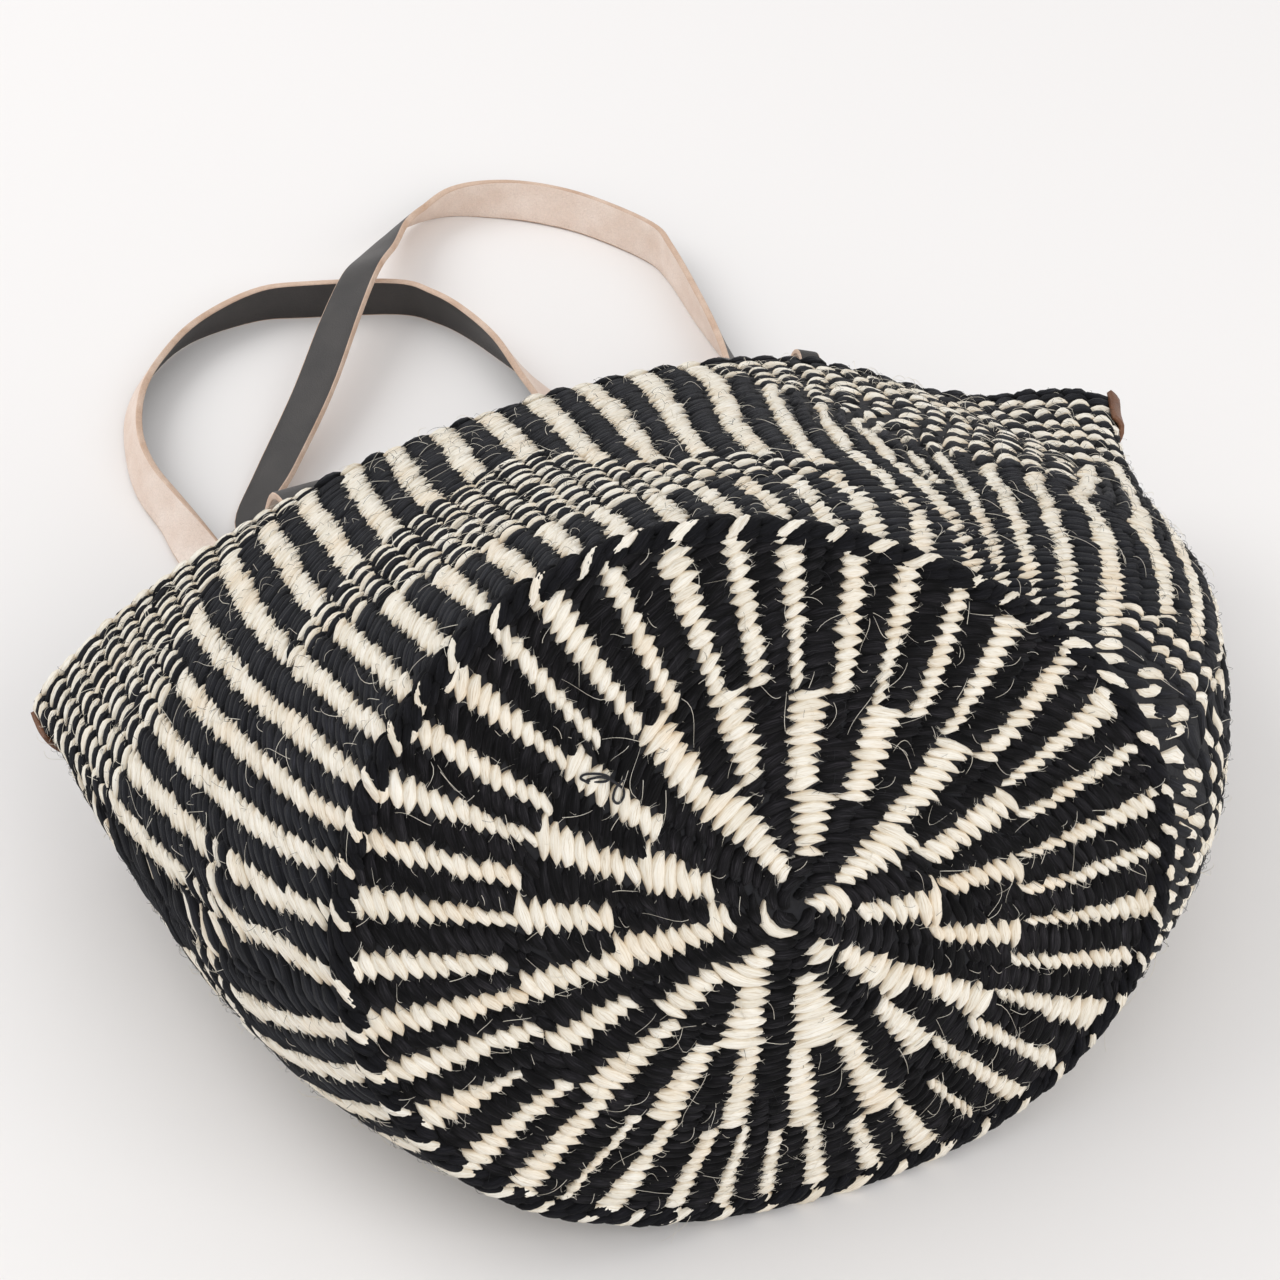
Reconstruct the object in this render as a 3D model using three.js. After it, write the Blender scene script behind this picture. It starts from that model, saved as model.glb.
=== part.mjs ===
import * as THREE from 'three';
import { mergeVertices } from 'three/addons/utils/BufferGeometryUtils.js';

// A soft woven tote bag lying on its side with two long leather handles.
// Millimetres and degrees. x runs along the mouth, +y is the way the mouth looks, z is up and
// the floor is z = 0. An angle goes round the bag from its right side (0) over the top (90).

// The round base, which stands at the -y end and leans back.
const baseLongWidth = 296;
const baseShortWidth = 244;
const baseRoll = -17;
const baseBulge = 4.5;
const baseBulgeTurn = -20;
const baseLean = 22.6;
const baseTurn = -2.7;
const baseCentreX = -37;
const baseCentreY = -229;
const domeHeight = 18;
const weaveStartRight = 6.4;
const weaveStartUp = 7.2;

// The flattened mouth at the +y end.
const mouthWidth = 464;
const mouthCornerHeight = 65;
const mouthArchHeight = 116;
const mouthArchForward = 39;
const mouthFloorBack = 16;
const mouthCornerRadius = 2;

// How the wall goes over from one to the other. A share is 0 at the base and 1 at the mouth.
const wallTwist = 2;
const flareLeft = 1.95;
const flareRight = 3.7;
const waistLeft = 6;
const waistRight = 20;
const waistPlace = 1.4;
const cornerDrop = 1.15;
const sideShift = 1.3;
const depthShift = 1.05;
const pinchStart = 1.2;
const pinchSkew = 0.02;
const archPower = 0.8;
const floorPower = 0.8;
const floorFullness = 0.26;
const wallSag = { share: 0.1, angle: 50, spread: 14 };
const rimSag = { share: 0.47, angle: 18, spread: 20 };

// Woven material, leather and gaps.
const wallThickness = 5;
const edgeBraidWidth = 9;
const rimBindingWidth = 6;
const gap = 0.3;
const handleWidth = 20;
const handleThickness = 3;
const handleSewnLength = 60;
const hingeBeyondRim = 8;
const tabThickness = 2;
const tabLength = 14;
const tabBeyondRim = 4;
const tabAngles = [185, -5];
const tabHalfAngle = 4;
const loopWidth = 9;
const loopThickness = 2;
const loopEyeRadius = 5.5;
const loopSewnLength = 24;
const threadWidth = 1.4;
const threadThickness = 1;
const stitchCrossSize = 13;

// Where the handles and the loop leave the mouth, as angles at the rim.
const upperHandleAngles = [129, 57];
const lowerHandleAngles = [-130, -50];
const loopAngle = 45;

const sectionSides = 8;
const angleStep = 5;
const wallRings = 14;
const baseRings = 7;

const radians = THREE.MathUtils.degToRad;
const vector = (x, y, z) => new THREE.Vector3(x, y, z);
const meanRadius = (baseLongWidth + baseShortWidth) / 4;
const ovalDepth = (baseLongWidth - baseShortWidth) / 4;
const halfWall = wallThickness / 2;
const edgeRadius = edgeBraidWidth / 2;
const bindingRadius = rimBindingWidth / 2;
const bindingRaise = bindingRadius - halfWall;

const baseOut = vector(
  Math.sin(radians(baseTurn)) * Math.cos(radians(baseLean)),
  -Math.cos(radians(baseTurn)) * Math.cos(radians(baseLean)),
  Math.sin(radians(baseLean)));
const baseRight = vector(Math.cos(radians(baseTurn)), Math.sin(radians(baseTurn)), 0);
const baseUp = baseOut.clone().cross(baseRight);

function unevenness(angle) {
  const oval = ovalDepth * Math.cos(radians(2 * (angle - baseRoll)));
  const bulge = baseBulge * Math.cos(radians(3 * (angle - baseBulgeTurn)));
  return (oval + bulge) / meanRadius;
}

function lowestEdge() {
  let lowest = 0;
  for (let angle = -180; angle < 0; angle += 1) {
    const fall = meanRadius * (1 + unevenness(angle)) * Math.sin(radians(angle)) * baseUp.z;
    lowest = Math.min(lowest, fall);
  }
  return lowest;
}

const baseCentre = vector(baseCentreX, baseCentreY, edgeRadius - lowestEdge());
const baseFall = meanRadius * baseUp.z;

// Height share of a pinched end, rounded off so that the corner keeps its radius.
function pinched(level, power, rounding) {
  const round = rounding * Math.sqrt(level) * (1 - level);
  return Math.pow(Math.pow(level, 4 * power) + Math.pow(round, 4), 1 / 4);
}

// Share of its height that the upper wall has lost where it sags, on the right.
function sagging(angle, share) {
  const depth = (sag) => sag.share * Math.exp(-Math.pow((angle - sag.angle) / sag.spread, 2));
  return depth(wallSag) * Math.sin(Math.PI * share) + depth(rimSag) * share * share;
}

// Middle surface of the woven wall.
function wallPoint(angle, share) {
  const left = 1 - share;
  const rho = 1 + unevenness(angle) * left * left;
  const turned = radians(angle + wallTwist * share);
  const pinch = Math.pow(share, pinchStart);
  const even = (2 / Math.PI) * Math.asin(THREE.MathUtils.clamp(Math.cos(turned), -1, 1));
  let across = Math.cos(turned) * (1 - pinch) + even * pinch;
  across -= pinchSkew * pinch * (1 - across * across);
  const level = THREE.MathUtils.clamp(1 - across * across, 0, 1);
  const upper = Math.sin(turned) >= 0;
  const centre = vector(
    baseCentre.x * Math.pow(left, sideShift),
    baseCentre.y * Math.pow(left, depthShift),
    mouthCornerHeight + (baseCentre.z - mouthCornerHeight) * Math.pow(left, cornerDrop));
  const flare = across < 0 ? flareLeft : flareRight;
  const waist = across < 0 ? waistLeft : waistRight;
  const halfWidth = meanRadius + (mouthWidth / 2 - meanRadius) * (1 - Math.pow(left, flare))
    - waist * Math.sin(Math.PI * Math.pow(share, waistPlace));
  const halfHeight = upper
    ? baseFall * left + baseCentre.z * left + mouthArchHeight * share - centre.z
    : centre.z - halfWall + (baseFall - baseCentre.z + halfWall) * left;
  const rounding = pinch * Math.sqrt(mouthCornerRadius * mouthWidth / 2) / halfHeight;
  const full = share > 0 && share < 1 ? floorFullness * Math.pow(Math.sin(Math.PI * share), 0.7) : 0;
  const power = upper ? 0.5 + (archPower - 0.5) * pinch
    : 0.5 - full + (floorPower - 0.5) * pinch;
  const side = upper ? 1 - sagging(angle, share) : -1;
  const high = side * pinched(level, power, rounding) * rho;
  const forward = upper ? mouthArchForward : mouthFloorBack;
  const sideways = baseRight.clone().multiplyScalar(left).add(vector(share, 0, 0)).normalize();
  const point = centre.clone().addScaledVector(sideways, halfWidth * across * rho);
  point.x += high * meanRadius * baseUp.x * left;
  point.y += high * (meanRadius * baseUp.y * left + forward * share);
  point.z += high * halfHeight;
  point.z = Math.max(point.z, halfWall);
  return point;
}

function basePlanePoint(angle) {
  const reach = meanRadius * (1 + unevenness(angle));
  return baseCentre.clone()
    .addScaledVector(baseRight, reach * Math.cos(radians(angle)))
    .addScaledVector(baseUp, reach * Math.sin(radians(angle)));
}

function slopes(angle, share) {
  const turn = 1.5;
  const step = 0.01;
  const before = Math.max(0, share - step);
  const after = Math.min(1, share + step);
  const round = wallPoint(angle + turn, share).sub(wallPoint(angle - turn, share));
  const along = wallPoint(angle, after).sub(wallPoint(angle, before));
  return {
    round: round.multiplyScalar(1 / (2 * turn)),
    along: along.multiplyScalar(1 / (after - before)),
  };
}

function outward(angle, share) {
  const slope = slopes(angle, share);
  return slope.along.cross(slope.round).normalize();
}

// One closed body through rings of points. Without a loop the two ends are capped.
function skin(rings, looped) {
  const count = rings[0].length;
  const positions = rings.flat().flatMap((point) => point.toArray());
  const faces = [];
  const last = looped ? rings.length : rings.length - 1;
  for (let i = 0; i < last; i += 1) {
    const next = (i + 1) % rings.length;
    for (let j = 0; j < count; j += 1) {
      const k = (j + 1) % count;
      const corners = [i * count + j, next * count + j, next * count + k, i * count + k];
      faces.push(corners[0], corners[1], corners[2], corners[0], corners[2], corners[3]);
    }
  }
  if (!looped) {
    for (let j = 1; j < count - 1; j += 1) {
      const start = (rings.length - 1) * count;
      faces.push(0, j, j + 1, start, start + j + 1, start + j);
    }
  }
  const geometry = new THREE.BufferGeometry();
  geometry.setAttribute('position', new THREE.Float32BufferAttribute(positions, 3));
  geometry.setIndex(faces);
  return outwardFaces(geometry);
}

function outwardFaces(geometry) {
  const index = geometry.getIndex();
  const position = geometry.getAttribute('position');
  const corners = [vector(0, 0, 0), vector(0, 0, 0), vector(0, 0, 0)];
  let volume = 0;
  for (let i = 0; i < index.count; i += 3) {
    corners.forEach((corner, j) => corner.fromBufferAttribute(position, index.getX(i + j)));
    volume += corners[0].dot(corners[1].clone().cross(corners[2]));
  }
  if (volume < 0) {
    for (let i = 0; i < index.count; i += 3) {
      const swapped = index.getX(i + 1);
      index.setX(i + 1, index.getX(i + 2));
      index.setX(i + 2, swapped);
    }
  }
  return geometry;
}

const roundAngles = [];
for (let angle = 0; angle < 360; angle += angleStep) {
  roundAngles.push(angle);
}
const cornerSteps = [0.25, 0.5, 0.75, 1.5].map((part) => part * angleStep);
const cornerAngles = cornerSteps.flatMap((step) => [step, 180 - step, 180 + step, 360 - step]);
const wallAngles = [...roundAngles, ...cornerAngles].sort((a, b) => a - b);
const byTwist = (angle, share) => angle - wallTwist * share;

// Share at which the wall is the given distance from its base edge or its rim.
function shareAt(angle, fromRim, distance) {
  const edge = [];
  for (let turn = -6; turn < 6; turn += 1) {
    edge.push(new THREE.Line3(
      wallPoint(angle + turn, fromRim ? 1 : 0), wallPoint(angle + turn + 1, fromRim ? 1 : 0)));
  }
  const nearest = vector(0, 0, 0);
  let near = 0;
  let far = 0.2;
  for (let i = 0; i < 24; i += 1) {
    const middle = (near + far) / 2;
    const here = wallPoint(angle, fromRim ? 1 - middle : middle);
    const away = edge.map((part) => part.closestPointToPoint(here, true, nearest).distanceTo(here));
    if (Math.min(...away) < distance) {
      near = middle;
    } else {
      far = middle;
    }
  }
  return fromRim ? 1 - far : far;
}

function wovenWall() {
  const outer = [];
  const inner = [];
  const spans = wallAngles.map((angle) => [
    shareAt(byTwist(angle, 0), false, edgeRadius + gap),
    shareAt(byTwist(angle, 1), true, bindingRadius + gap)]);
  for (let i = 0; i <= wallRings; i += 1) {
    const outerRing = [];
    const innerRing = [];
    for (const [j, angle] of wallAngles.entries()) {
      const share = THREE.MathUtils.lerp(...spans[j], i / wallRings);
      const point = wallPoint(byTwist(angle, share), share);
      const normal = outward(byTwist(angle, share), share);
      outerRing.push(point.clone().addScaledVector(normal, halfWall));
      innerRing.push(point.addScaledVector(normal, -halfWall));
    }
    outer.push(outerRing);
    inner.unshift(innerRing);
  }
  for (const point of outer.flat()) {
    point.z = Math.max(point.z, 0);
  }
  return skin([...outer, ...inner], true);
}

// Ring of round section along a curve, spanned by two directions across the curve.
function cordRing(angles, centreAt, directionsAt, radius) {
  const rings = angles.map((angle) => {
    const centre = centreAt(angle);
    const [first, second] = directionsAt(angle);
    const ring = [];
    for (let side = 0; side < sectionSides; side += 1) {
      const turn = 2 * Math.PI * side / sectionSides;
      ring.push(centre.clone()
        .addScaledVector(first, radius * Math.cos(turn))
        .addScaledVector(second, radius * Math.sin(turn)));
    }
    return ring;
  });
  return skin(rings, true);
}

function baseEdgeBraid() {
  const across = (angle) => {
    const along = basePlanePoint(angle + 1).sub(basePlanePoint(angle - 1)).normalize();
    return [along.cross(baseOut).normalize(), baseOut];
  };
  return cordRing(roundAngles, basePlanePoint, across, edgeRadius);
}

function rimBinding() {
  const centre = (angle) => {
    const point = wallPoint(byTwist(angle, 1), 1);
    point.z = Math.max(point.z, halfWall + bindingRaise);
    return point;
  };
  const across = (angle) => {
    const slope = slopes(byTwist(angle, 1), 1);
    const along = slope.round.clone().normalize();
    const out = slope.along.cross(slope.round).normalize();
    return [out, along.cross(out).normalize()];
  };
  return cordRing(wallAngles, centre, across, bindingRadius);
}

// Domed base: its woven middle lies off the centre and in front of the edge's plane.
function wovenBase() {
  const start = baseCentre.clone()
    .addScaledVector(baseRight, weaveStartRight)
    .addScaledVector(baseUp, weaveStartUp);
  const basePoint = (angle, share) => start.clone()
    .lerp(basePlanePoint(angle), share)
    .addScaledVector(baseOut, domeHeight * (1 - share * share));
  const baseNormal = (angle, share) => {
    const round = basePoint(angle + 2, share).sub(basePoint(angle - 2, share));
    const along = basePoint(angle, share + 0.02).sub(basePoint(angle, share - 0.02));
    return along.cross(round).normalize().multiplyScalar(-1);
  };
  const front = [];
  const back = [];
  for (let i = 1; i <= baseRings; i += 1) {
    const frontRing = [];
    const backRing = [];
    for (const angle of roundAngles) {
      const reach = basePlanePoint(angle).distanceTo(start);
      const edge = 1 - (edgeRadius + gap) / reach;
      const share = edge * i / baseRings;
      const normal = baseNormal(angle, share);
      if (normal.dot(baseOut) < 0) {
        normal.negate();
      }
      const point = basePoint(angle, share);
      frontRing.push(point.clone().addScaledVector(normal, halfWall));
      backRing.push(point.addScaledVector(normal, -halfWall));
    }
    front.push(frontRing);
    back.unshift(backRing);
  }
  return skin([...front, ...back], false);
}

// Directions at the rim: to the right along it, and square to it out of the mouth.
function rimDirections(angle) {
  const slope = slopes(angle, 1);
  const sideways = slope.round.multiplyScalar(Math.sign(slope.round.x)).normalize();
  const run = slope.along.clone().addScaledVector(sideways, -slope.along.dot(sideways));
  const perShare = run.length();
  return { sideways, run: run.normalize(), perShare };
}

// A point under the wall: square to the rim (inside is negative), across to the right, and in
// from the middle surface.
function underWall(angle, along, across, depth) {
  const rim = rimDirections(angle);
  const share = 1 + Math.min(along, 0) / rim.perShare;
  const drift = wallPoint(angle, share).sub(wallPoint(angle, 1)).dot(rim.sideways);
  const here = slopes(angle, share).round;
  const turned = angle + Math.sign(here.x) * (across - drift) / here.length();
  const point = wallPoint(turned, share).addScaledVector(outward(turned, share), -depth);
  return point.addScaledVector(rim.run, Math.max(along, 0));
}

const upperDepth = bindingRadius + gap;
const lowerDepth = bindingRadius + bindingRaise + gap;

// The line a handle bends about where it leaves the mouth. It lies in the handle's upper face.
function hingeLine(angles, depth) {
  const [left, right] = angles.map((angle) => underWall(angle, hingeBeyondRim, 0, depth));
  const axis = right.clone().sub(left).normalize();
  return { left, right, axis };
}

// The four corners of a handle's section at its hinge: upper left, upper right, lower right,
// lower left.
function hingeSection(point, axis, run) {
  const across = axis.clone().multiplyScalar(handleWidth / 2);
  const down = run.clone().cross(axis).normalize().multiplyScalar(handleThickness);
  const upperLeft = point.clone().sub(across);
  const upperRight = point.clone().add(across);
  return [upperLeft, upperRight, upperRight.clone().add(down), upperLeft.clone().add(down)];
}

function runAt(angle, axis) {
  const { run } = rimDirections(angle);
  return run.addScaledVector(axis, -run.dot(axis)).normalize();
}

// The sewn end of a handle lies under the wall from inside the bag to the hinge.
function sewnEnd(angle, point, axis, depths) {
  const rings = [];
  const steps = 8;
  for (let i = 0; i < steps; i += 1) {
    const along = -handleSewnLength * (1 - i / (steps - 1));
    const half = handleWidth / 2;
    rings.push([
      underWall(angle, along, -half, depths[0]),
      underWall(angle, along, half, depths[0]),
      underWall(angle, along, half, depths[1]),
      underWall(angle, along, -half, depths[1]),
    ]);
  }
  rings.push(hingeSection(point, axis, runAt(angle, axis)));
  return skin(rings, false);
}

// Free handles. Each row is x, y, clear height under the leather, and lean from standing on edge
// (0) to lying flat with its outer face up (90). The rows go from the left end round to the right.
const upperHandleRows = [
  [-110, 55, 90, 90],
  [-109, 82, 52, 90],
  [-108, 112, 17, 84],
  [-107, 142, 1.5, 62],
  [-90, 165, 4.5, 72],
  [-60, 202, 12.5, 76],
  [-32, 242, 19, 72],
  [-14, 265, 22.5, 66],
  [1, 285, 15.5, 60],
  [16, 306, 7, 45],
  [32, 321, 1.5, 38],
  [52, 326, 0, 16],
  [74, 319, 0, -8],
  [93, 307, 0, -17],
  [111, 288, 0, -15],
  [129, 258, 0, -12],
  [132, 238, 0, -2],
  [130, 200, 0, 4],
  [127, 162, 3, 20],
  [118, 122, 22, 48],
  [102, 86, 59, 76],
  [87, 62, 88, 88],
];
const lowerHandleRows = [
  [-106, 22, 6, 88],
  [-122, 68, 0, 80],
  [-133, 108, 0, 64],
  [-138, 134, 0, 46],
  [-141, 154, 0, 27],
  [-145, 180, 0, 22],
  [-143, 206, 0, 20],
  [-134, 235, 0, 28],
  [-118, 258, 0, 32],
  [-95, 276, 0, 28],
  [-63, 283, 0, 10],
  [-39, 278, 0, 1],
  [2, 263, 0, 3],
  [16, 249, 0, 8],
  [25, 232, 0, 12],
  [33, 206, 0, 20],
  [39, 176, 0, 44],
  [47, 144, 0, 64],
  [62, 100, 0, 78],
  [84, 50, 2, 86],
  [99, 18, 8, 90],
];

function smoothRow(rows, at) {
  const first = Math.min(Math.floor(at), rows.length - 2);
  const t = at - first;
  const pick = (i) => rows[THREE.MathUtils.clamp(i, 0, rows.length - 1)];
  const [a, b, c, d] = [pick(first - 1), pick(first), pick(first + 1), pick(first + 2)];
  return b.map((value, i) => value + 0.5 * t * (c[i] - a[i]
    + t * (2 * a[i] - 5 * value + 4 * c[i] - d[i] + t * (3 * (value - c[i]) + d[i] - a[i]))));
}

function centreHeight(clear, lean) {
  const standing = Math.abs(Math.cos(radians(lean))) * handleWidth;
  const flat = Math.abs(Math.sin(radians(lean))) * handleThickness;
  return clear + (standing + flat) / 2;
}

function freeHandle(angles, hinge, rows) {
  const ends = [hinge.left, hinge.right].map((point, i) => {
    const run = runAt(angles[i], hinge.axis);
    const middle = run.clone().cross(hinge.axis).multiplyScalar(handleThickness / 2);
    const start = point.clone().addScaledVector(run, gap);
    return { run, start, centre: start.clone().add(middle) };
  });
  const lifted = rows.map(([x, y, clear, lean]) => [x, y, centreHeight(clear, lean), lean]);
  const path = [[...ends[0].centre, 90], ...lifted, [...ends[1].centre, 90]];
  const steps = 3;
  const total = (path.length - 1) * steps;
  const rings = [hingeSection(ends[0].start, hinge.axis, ends[0].run)];
  for (let i = 1; i < total; i += 1) {
    const [x, y, z, lean] = smoothRow(path, i / steps);
    const ahead = smoothRow(path, (i + 0.5) / steps);
    const behind = smoothRow(path, (i - 0.5) / steps);
    const run = vector(ahead[0] - behind[0], ahead[1] - behind[1], ahead[2] - behind[2]).normalize();
    const side = vector(run.y, -run.x, 0).normalize();
    const top = side.clone().cross(run).normalize();
    const across = top.multiplyScalar(Math.cos(radians(lean)))
      .addScaledVector(side, Math.sin(radians(lean)));
    const nearEnd = Math.min(i, total - i);
    const sign = i < total / 2 ? 1 : -1;
    const blend = THREE.MathUtils.clamp(1 - nearEnd / 3, 0, 1);
    across.lerp(hinge.axis.clone().multiplyScalar(sign), blend).normalize();
    const out = across.clone().cross(run).normalize();
    const centre = vector(x, y, z);
    const corner = (w, t) => centre.clone()
      .addScaledVector(across, w * handleWidth / 2)
      .addScaledVector(out, t * handleThickness / 2);
    rings.push([corner(-1, 1), corner(1, 1), corner(1, -1), corner(-1, -1)]);
  }
  const lastRing = hingeSection(ends[1].start, hinge.axis, ends[1].run);
  rings.push([lastRing[1], lastRing[0], lastRing[3], lastRing[2]]);
  for (const point of rings.flat()) {
    point.z = Math.max(point.z, 0);
  }
  return skin(rings, false);
}

// Crossed stitches that lie on the sewn end's inner face.
function crossStitch(angle, depth) {
  const along = -handleSewnLength / 2;
  const middle = underWall(angle, along, 0, depth);
  const right = underWall(angle, along, 1, depth).sub(middle).normalize();
  const run = underWall(angle, along + 1, 0, depth).sub(middle);
  run.addScaledVector(right, -run.dot(right)).normalize();
  const half = stitchCrossSize / 2;
  const thread = threadWidth / 2;
  const outline = [];
  for (let quarter = 0; quarter < 4; quarter += 1) {
    const turn = Math.PI / 4 + quarter * Math.PI / 2;
    const arm = new THREE.Vector2(Math.cos(turn), Math.sin(turn));
    const side = new THREE.Vector2(-arm.y, arm.x);
    const inner = arm.clone().multiplyScalar(thread).addScaledVector(side, -thread);
    outline.push(inner);
    outline.push(arm.clone().multiplyScalar(half).addScaledVector(side, -thread));
    outline.push(arm.clone().multiplyScalar(half).addScaledVector(side, thread));
  }
  const shape = new THREE.Shape(outline);
  const body = new THREE.ExtrudeGeometry(shape, { depth: threadThickness, bevelEnabled: false });
  const inward = right.clone().cross(run);
  const matrix = new THREE.Matrix4().makeBasis(right, run, inward).setPosition(middle);
  const tilt = outward(angle, 1 + along / rimDirections(angle).perShare);
  if (inward.dot(tilt) > 0) {
    matrix.makeBasis(run, right, inward.negate()).setPosition(middle);
  }
  body.applyMatrix4(matrix);
  body.deleteAttribute('uv');
  body.deleteAttribute('normal');
  return outwardFaces(mergeVertices(body, 1e-4));
}

// A folded leather strip whose two ends are sewn under the rim and whose fold is an open eye.
function closureLoop() {
  const near = upperDepth + loopThickness / 2;
  const far = near + loopThickness + gap;
  const middle = (near + far) / 2;
  const eye = loopEyeRadius + loopThickness / 2;
  const neck = 6;
  const line = [];
  const eyeSteps = 14;
  const open = Math.asin((far - near) / 2 / eye);
  for (const along of [-loopSewnLength, -loopSewnLength / 2, 0, neck - 2]) {
    line.push([along, near]);
  }
  const eyeCentre = neck + eye * Math.cos(open);
  for (let i = 0; i <= eyeSteps; i += 1) {
    const turn = open + (2 * Math.PI - 2 * open) * i / eyeSteps;
    line.push([eyeCentre - eye * Math.cos(turn), middle - eye * Math.sin(turn)]);
  }
  for (const along of [neck - 2, 0, -loopSewnLength / 2, -loopSewnLength]) {
    line.push([along, far]);
  }
  const rings = line.map(([along, depth], i) => {
    const before = line[Math.max(i - 1, 0)];
    const after = line[Math.min(i + 1, line.length - 1)];
    const tangent = new THREE.Vector2(after[0] - before[0], after[1] - before[1]).normalize();
    const half = loopThickness / 2;
    const corner = (across, side) => underWall(
      loopAngle, along - side * half * tangent.y, across * loopWidth / 2,
      depth + side * half * tangent.x);
    return [corner(-1, -1), corner(1, -1), corner(1, 1), corner(-1, 1)];
  });
  return skin(rings, false);
}

// A leather patch folded round the corner of the mouth, standing a little past the rim.
function sideTab(middleAngle) {
  const first = shareAt(byTwist(middleAngle, 1), true, tabLength);
  const run = slopes(byTwist(middleAngle, 1), 1).along.normalize();
  const columns = 2 * tabHalfAngle;
  const outer = [];
  const inner = [];
  for (const [share, beyond] of [[first, 0], [(first + 1) / 2, 0], [1, 0], [1, tabBeyondRim]]) {
    const outerRow = [];
    const innerRow = [];
    for (let i = 0; i <= columns; i += 1) {
      const angle = middleAngle + tabHalfAngle * (2 * i / columns - 1) - wallTwist * share;
      const point = wallPoint(angle, share).addScaledVector(run, beyond);
      const normal = outward(angle, share);
      outerRow.push(point.clone().addScaledVector(normal, upperDepth + tabThickness));
      innerRow.push(point.addScaledVector(normal, upperDepth));
    }
    outer.push(outerRow);
    inner.push(innerRow);
  }
  const rings = outer[0].map((point, i) => [
    ...outer.map((row) => row[i]), ...inner.map((row) => row[i]).reverse()]);
  return skin(rings, false);
}

const bag = new THREE.Group();
const colours = {
  base: 0x1b1c22,
  wall: 0x6d6a68,
  edge: 0x1a1b20,
  rim: 0xa8a096,
  leather: 0x4a4543,
  tab: 0x7a4a30,
  thread: 0x26252a,
};

function add(name, geometry, colour, roughness) {
  geometry.computeVertexNormals();
  const material = new THREE.MeshStandardMaterial({ color: colour, roughness, metalness: 0 });
  material.name = name;
  const mesh = new THREE.Mesh(geometry, material);
  mesh.name = name;
  bag.add(mesh);
}

add('woven_base', wovenBase(), colours.base, 0.9);
add('base_edge_braid', baseEdgeBraid(), colours.edge, 0.9);
add('woven_wall', wovenWall(), colours.wall, 0.95);
add('rim_binding', rimBinding(), colours.rim, 0.9);

const upperHinge = hingeLine(upperHandleAngles, upperDepth);
const lowerHinge = hingeLine(lowerHandleAngles, lowerDepth + handleThickness);
const handles = [
  ['upper', upperHandleAngles, upperHinge, [upperDepth, upperDepth + handleThickness],
    upperHandleRows],
  ['lower', lowerHandleAngles, lowerHinge, [lowerDepth + handleThickness, lowerDepth],
    lowerHandleRows],
];
for (const [name, angles, hinge, depths, rows] of handles) {
  add(`${name}_handle`, freeHandle(angles, hinge, rows), colours.leather, 0.5);
  ['left', 'right'].forEach((side, i) => {
    const end = sewnEnd(angles[i], hinge[side], hinge.axis, depths);
    add(`${name}_handle_${side}_end`, end, colours.leather, 0.5);
    const stitchDepth = Math.max(...depths) + gap;
    add(`${name}_${side}_stitches`, crossStitch(angles[i], stitchDepth), colours.thread, 0.8);
  });
}
add('closure_loop', closureLoop(), colours.leather, 0.5);
add('side_tab_left', sideTab(tabAngles[0]), colours.tab, 0.55);
add('side_tab_right', sideTab(tabAngles[1]), colours.tab, 0.55);

// The origin is the bottom centre of the whole bag.
const box = new THREE.Box3().setFromObject(bag);
bag.position.set(-(box.min.x + box.max.x) / 2, -(box.min.y + box.max.y) / 2, -box.min.z);
bag.userData.hinges = { upperHinge, lowerHinge };

export default bag;
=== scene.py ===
import bpy
import math
import numpy as np
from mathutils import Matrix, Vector


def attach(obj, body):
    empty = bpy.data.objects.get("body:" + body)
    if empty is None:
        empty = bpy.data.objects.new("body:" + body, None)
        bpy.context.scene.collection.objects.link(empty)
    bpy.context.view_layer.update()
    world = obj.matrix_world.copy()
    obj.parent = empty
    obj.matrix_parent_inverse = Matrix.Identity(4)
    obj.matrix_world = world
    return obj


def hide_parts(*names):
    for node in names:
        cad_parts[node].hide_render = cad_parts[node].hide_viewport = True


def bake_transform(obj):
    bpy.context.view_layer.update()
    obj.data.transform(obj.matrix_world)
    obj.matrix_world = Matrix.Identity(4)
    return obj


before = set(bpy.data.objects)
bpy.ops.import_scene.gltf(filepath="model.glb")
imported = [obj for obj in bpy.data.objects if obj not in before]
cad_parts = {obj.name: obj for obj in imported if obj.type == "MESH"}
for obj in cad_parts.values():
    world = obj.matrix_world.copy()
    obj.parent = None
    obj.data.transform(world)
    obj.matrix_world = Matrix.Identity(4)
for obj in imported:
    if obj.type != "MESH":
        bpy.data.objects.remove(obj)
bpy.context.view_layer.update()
dice = np.random.default_rng(7)
print("bag: frame loaded")

# Form of the bag in millimetres and degrees. Angles go round the base, share goes up the wall.
form = {
    "baseLong": 296, "baseShort": 244, "baseRoll": -17, "baseBulge": 4.5, "bulgeTurn": -20,
    "lean": 22.6, "turn": -2.7, "baseX": -37, "baseY": -229, "dome": 18, "start": (5.8, -1.8),
    "mouth": 464, "cornerHeight": 65, "archHeight": 116, "archForward": 39, "floorBack": 16,
    "cornerRadius": 2, "twist": 2, "flare": (1.95, 3.7), "waist": (6, 20), "waistPlace": 1.4,
    "cornerDrop": 1.15, "sideShift": 1.3, "depthShift": 1.05, "pinchStart": 1.2,
    "pinchSkew": .02, "archPower": .8, "fullness": .26, "wallSag": (.1, 50, 14),
    "rimSag": (.47, 18, 20), "halfWall": 2.5, "edgeRadius": 4.5, "rimRadius": 3,
    "place": (-0.102, -24.888, 0),
}
place = np.array(form["place"])
meanRadius = (form["baseLong"] + form["baseShort"]) / 4
ovalDepth = (form["baseLong"] - form["baseShort"]) / 4
lean, turn = math.radians(form["lean"]), math.radians(form["turn"])
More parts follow.
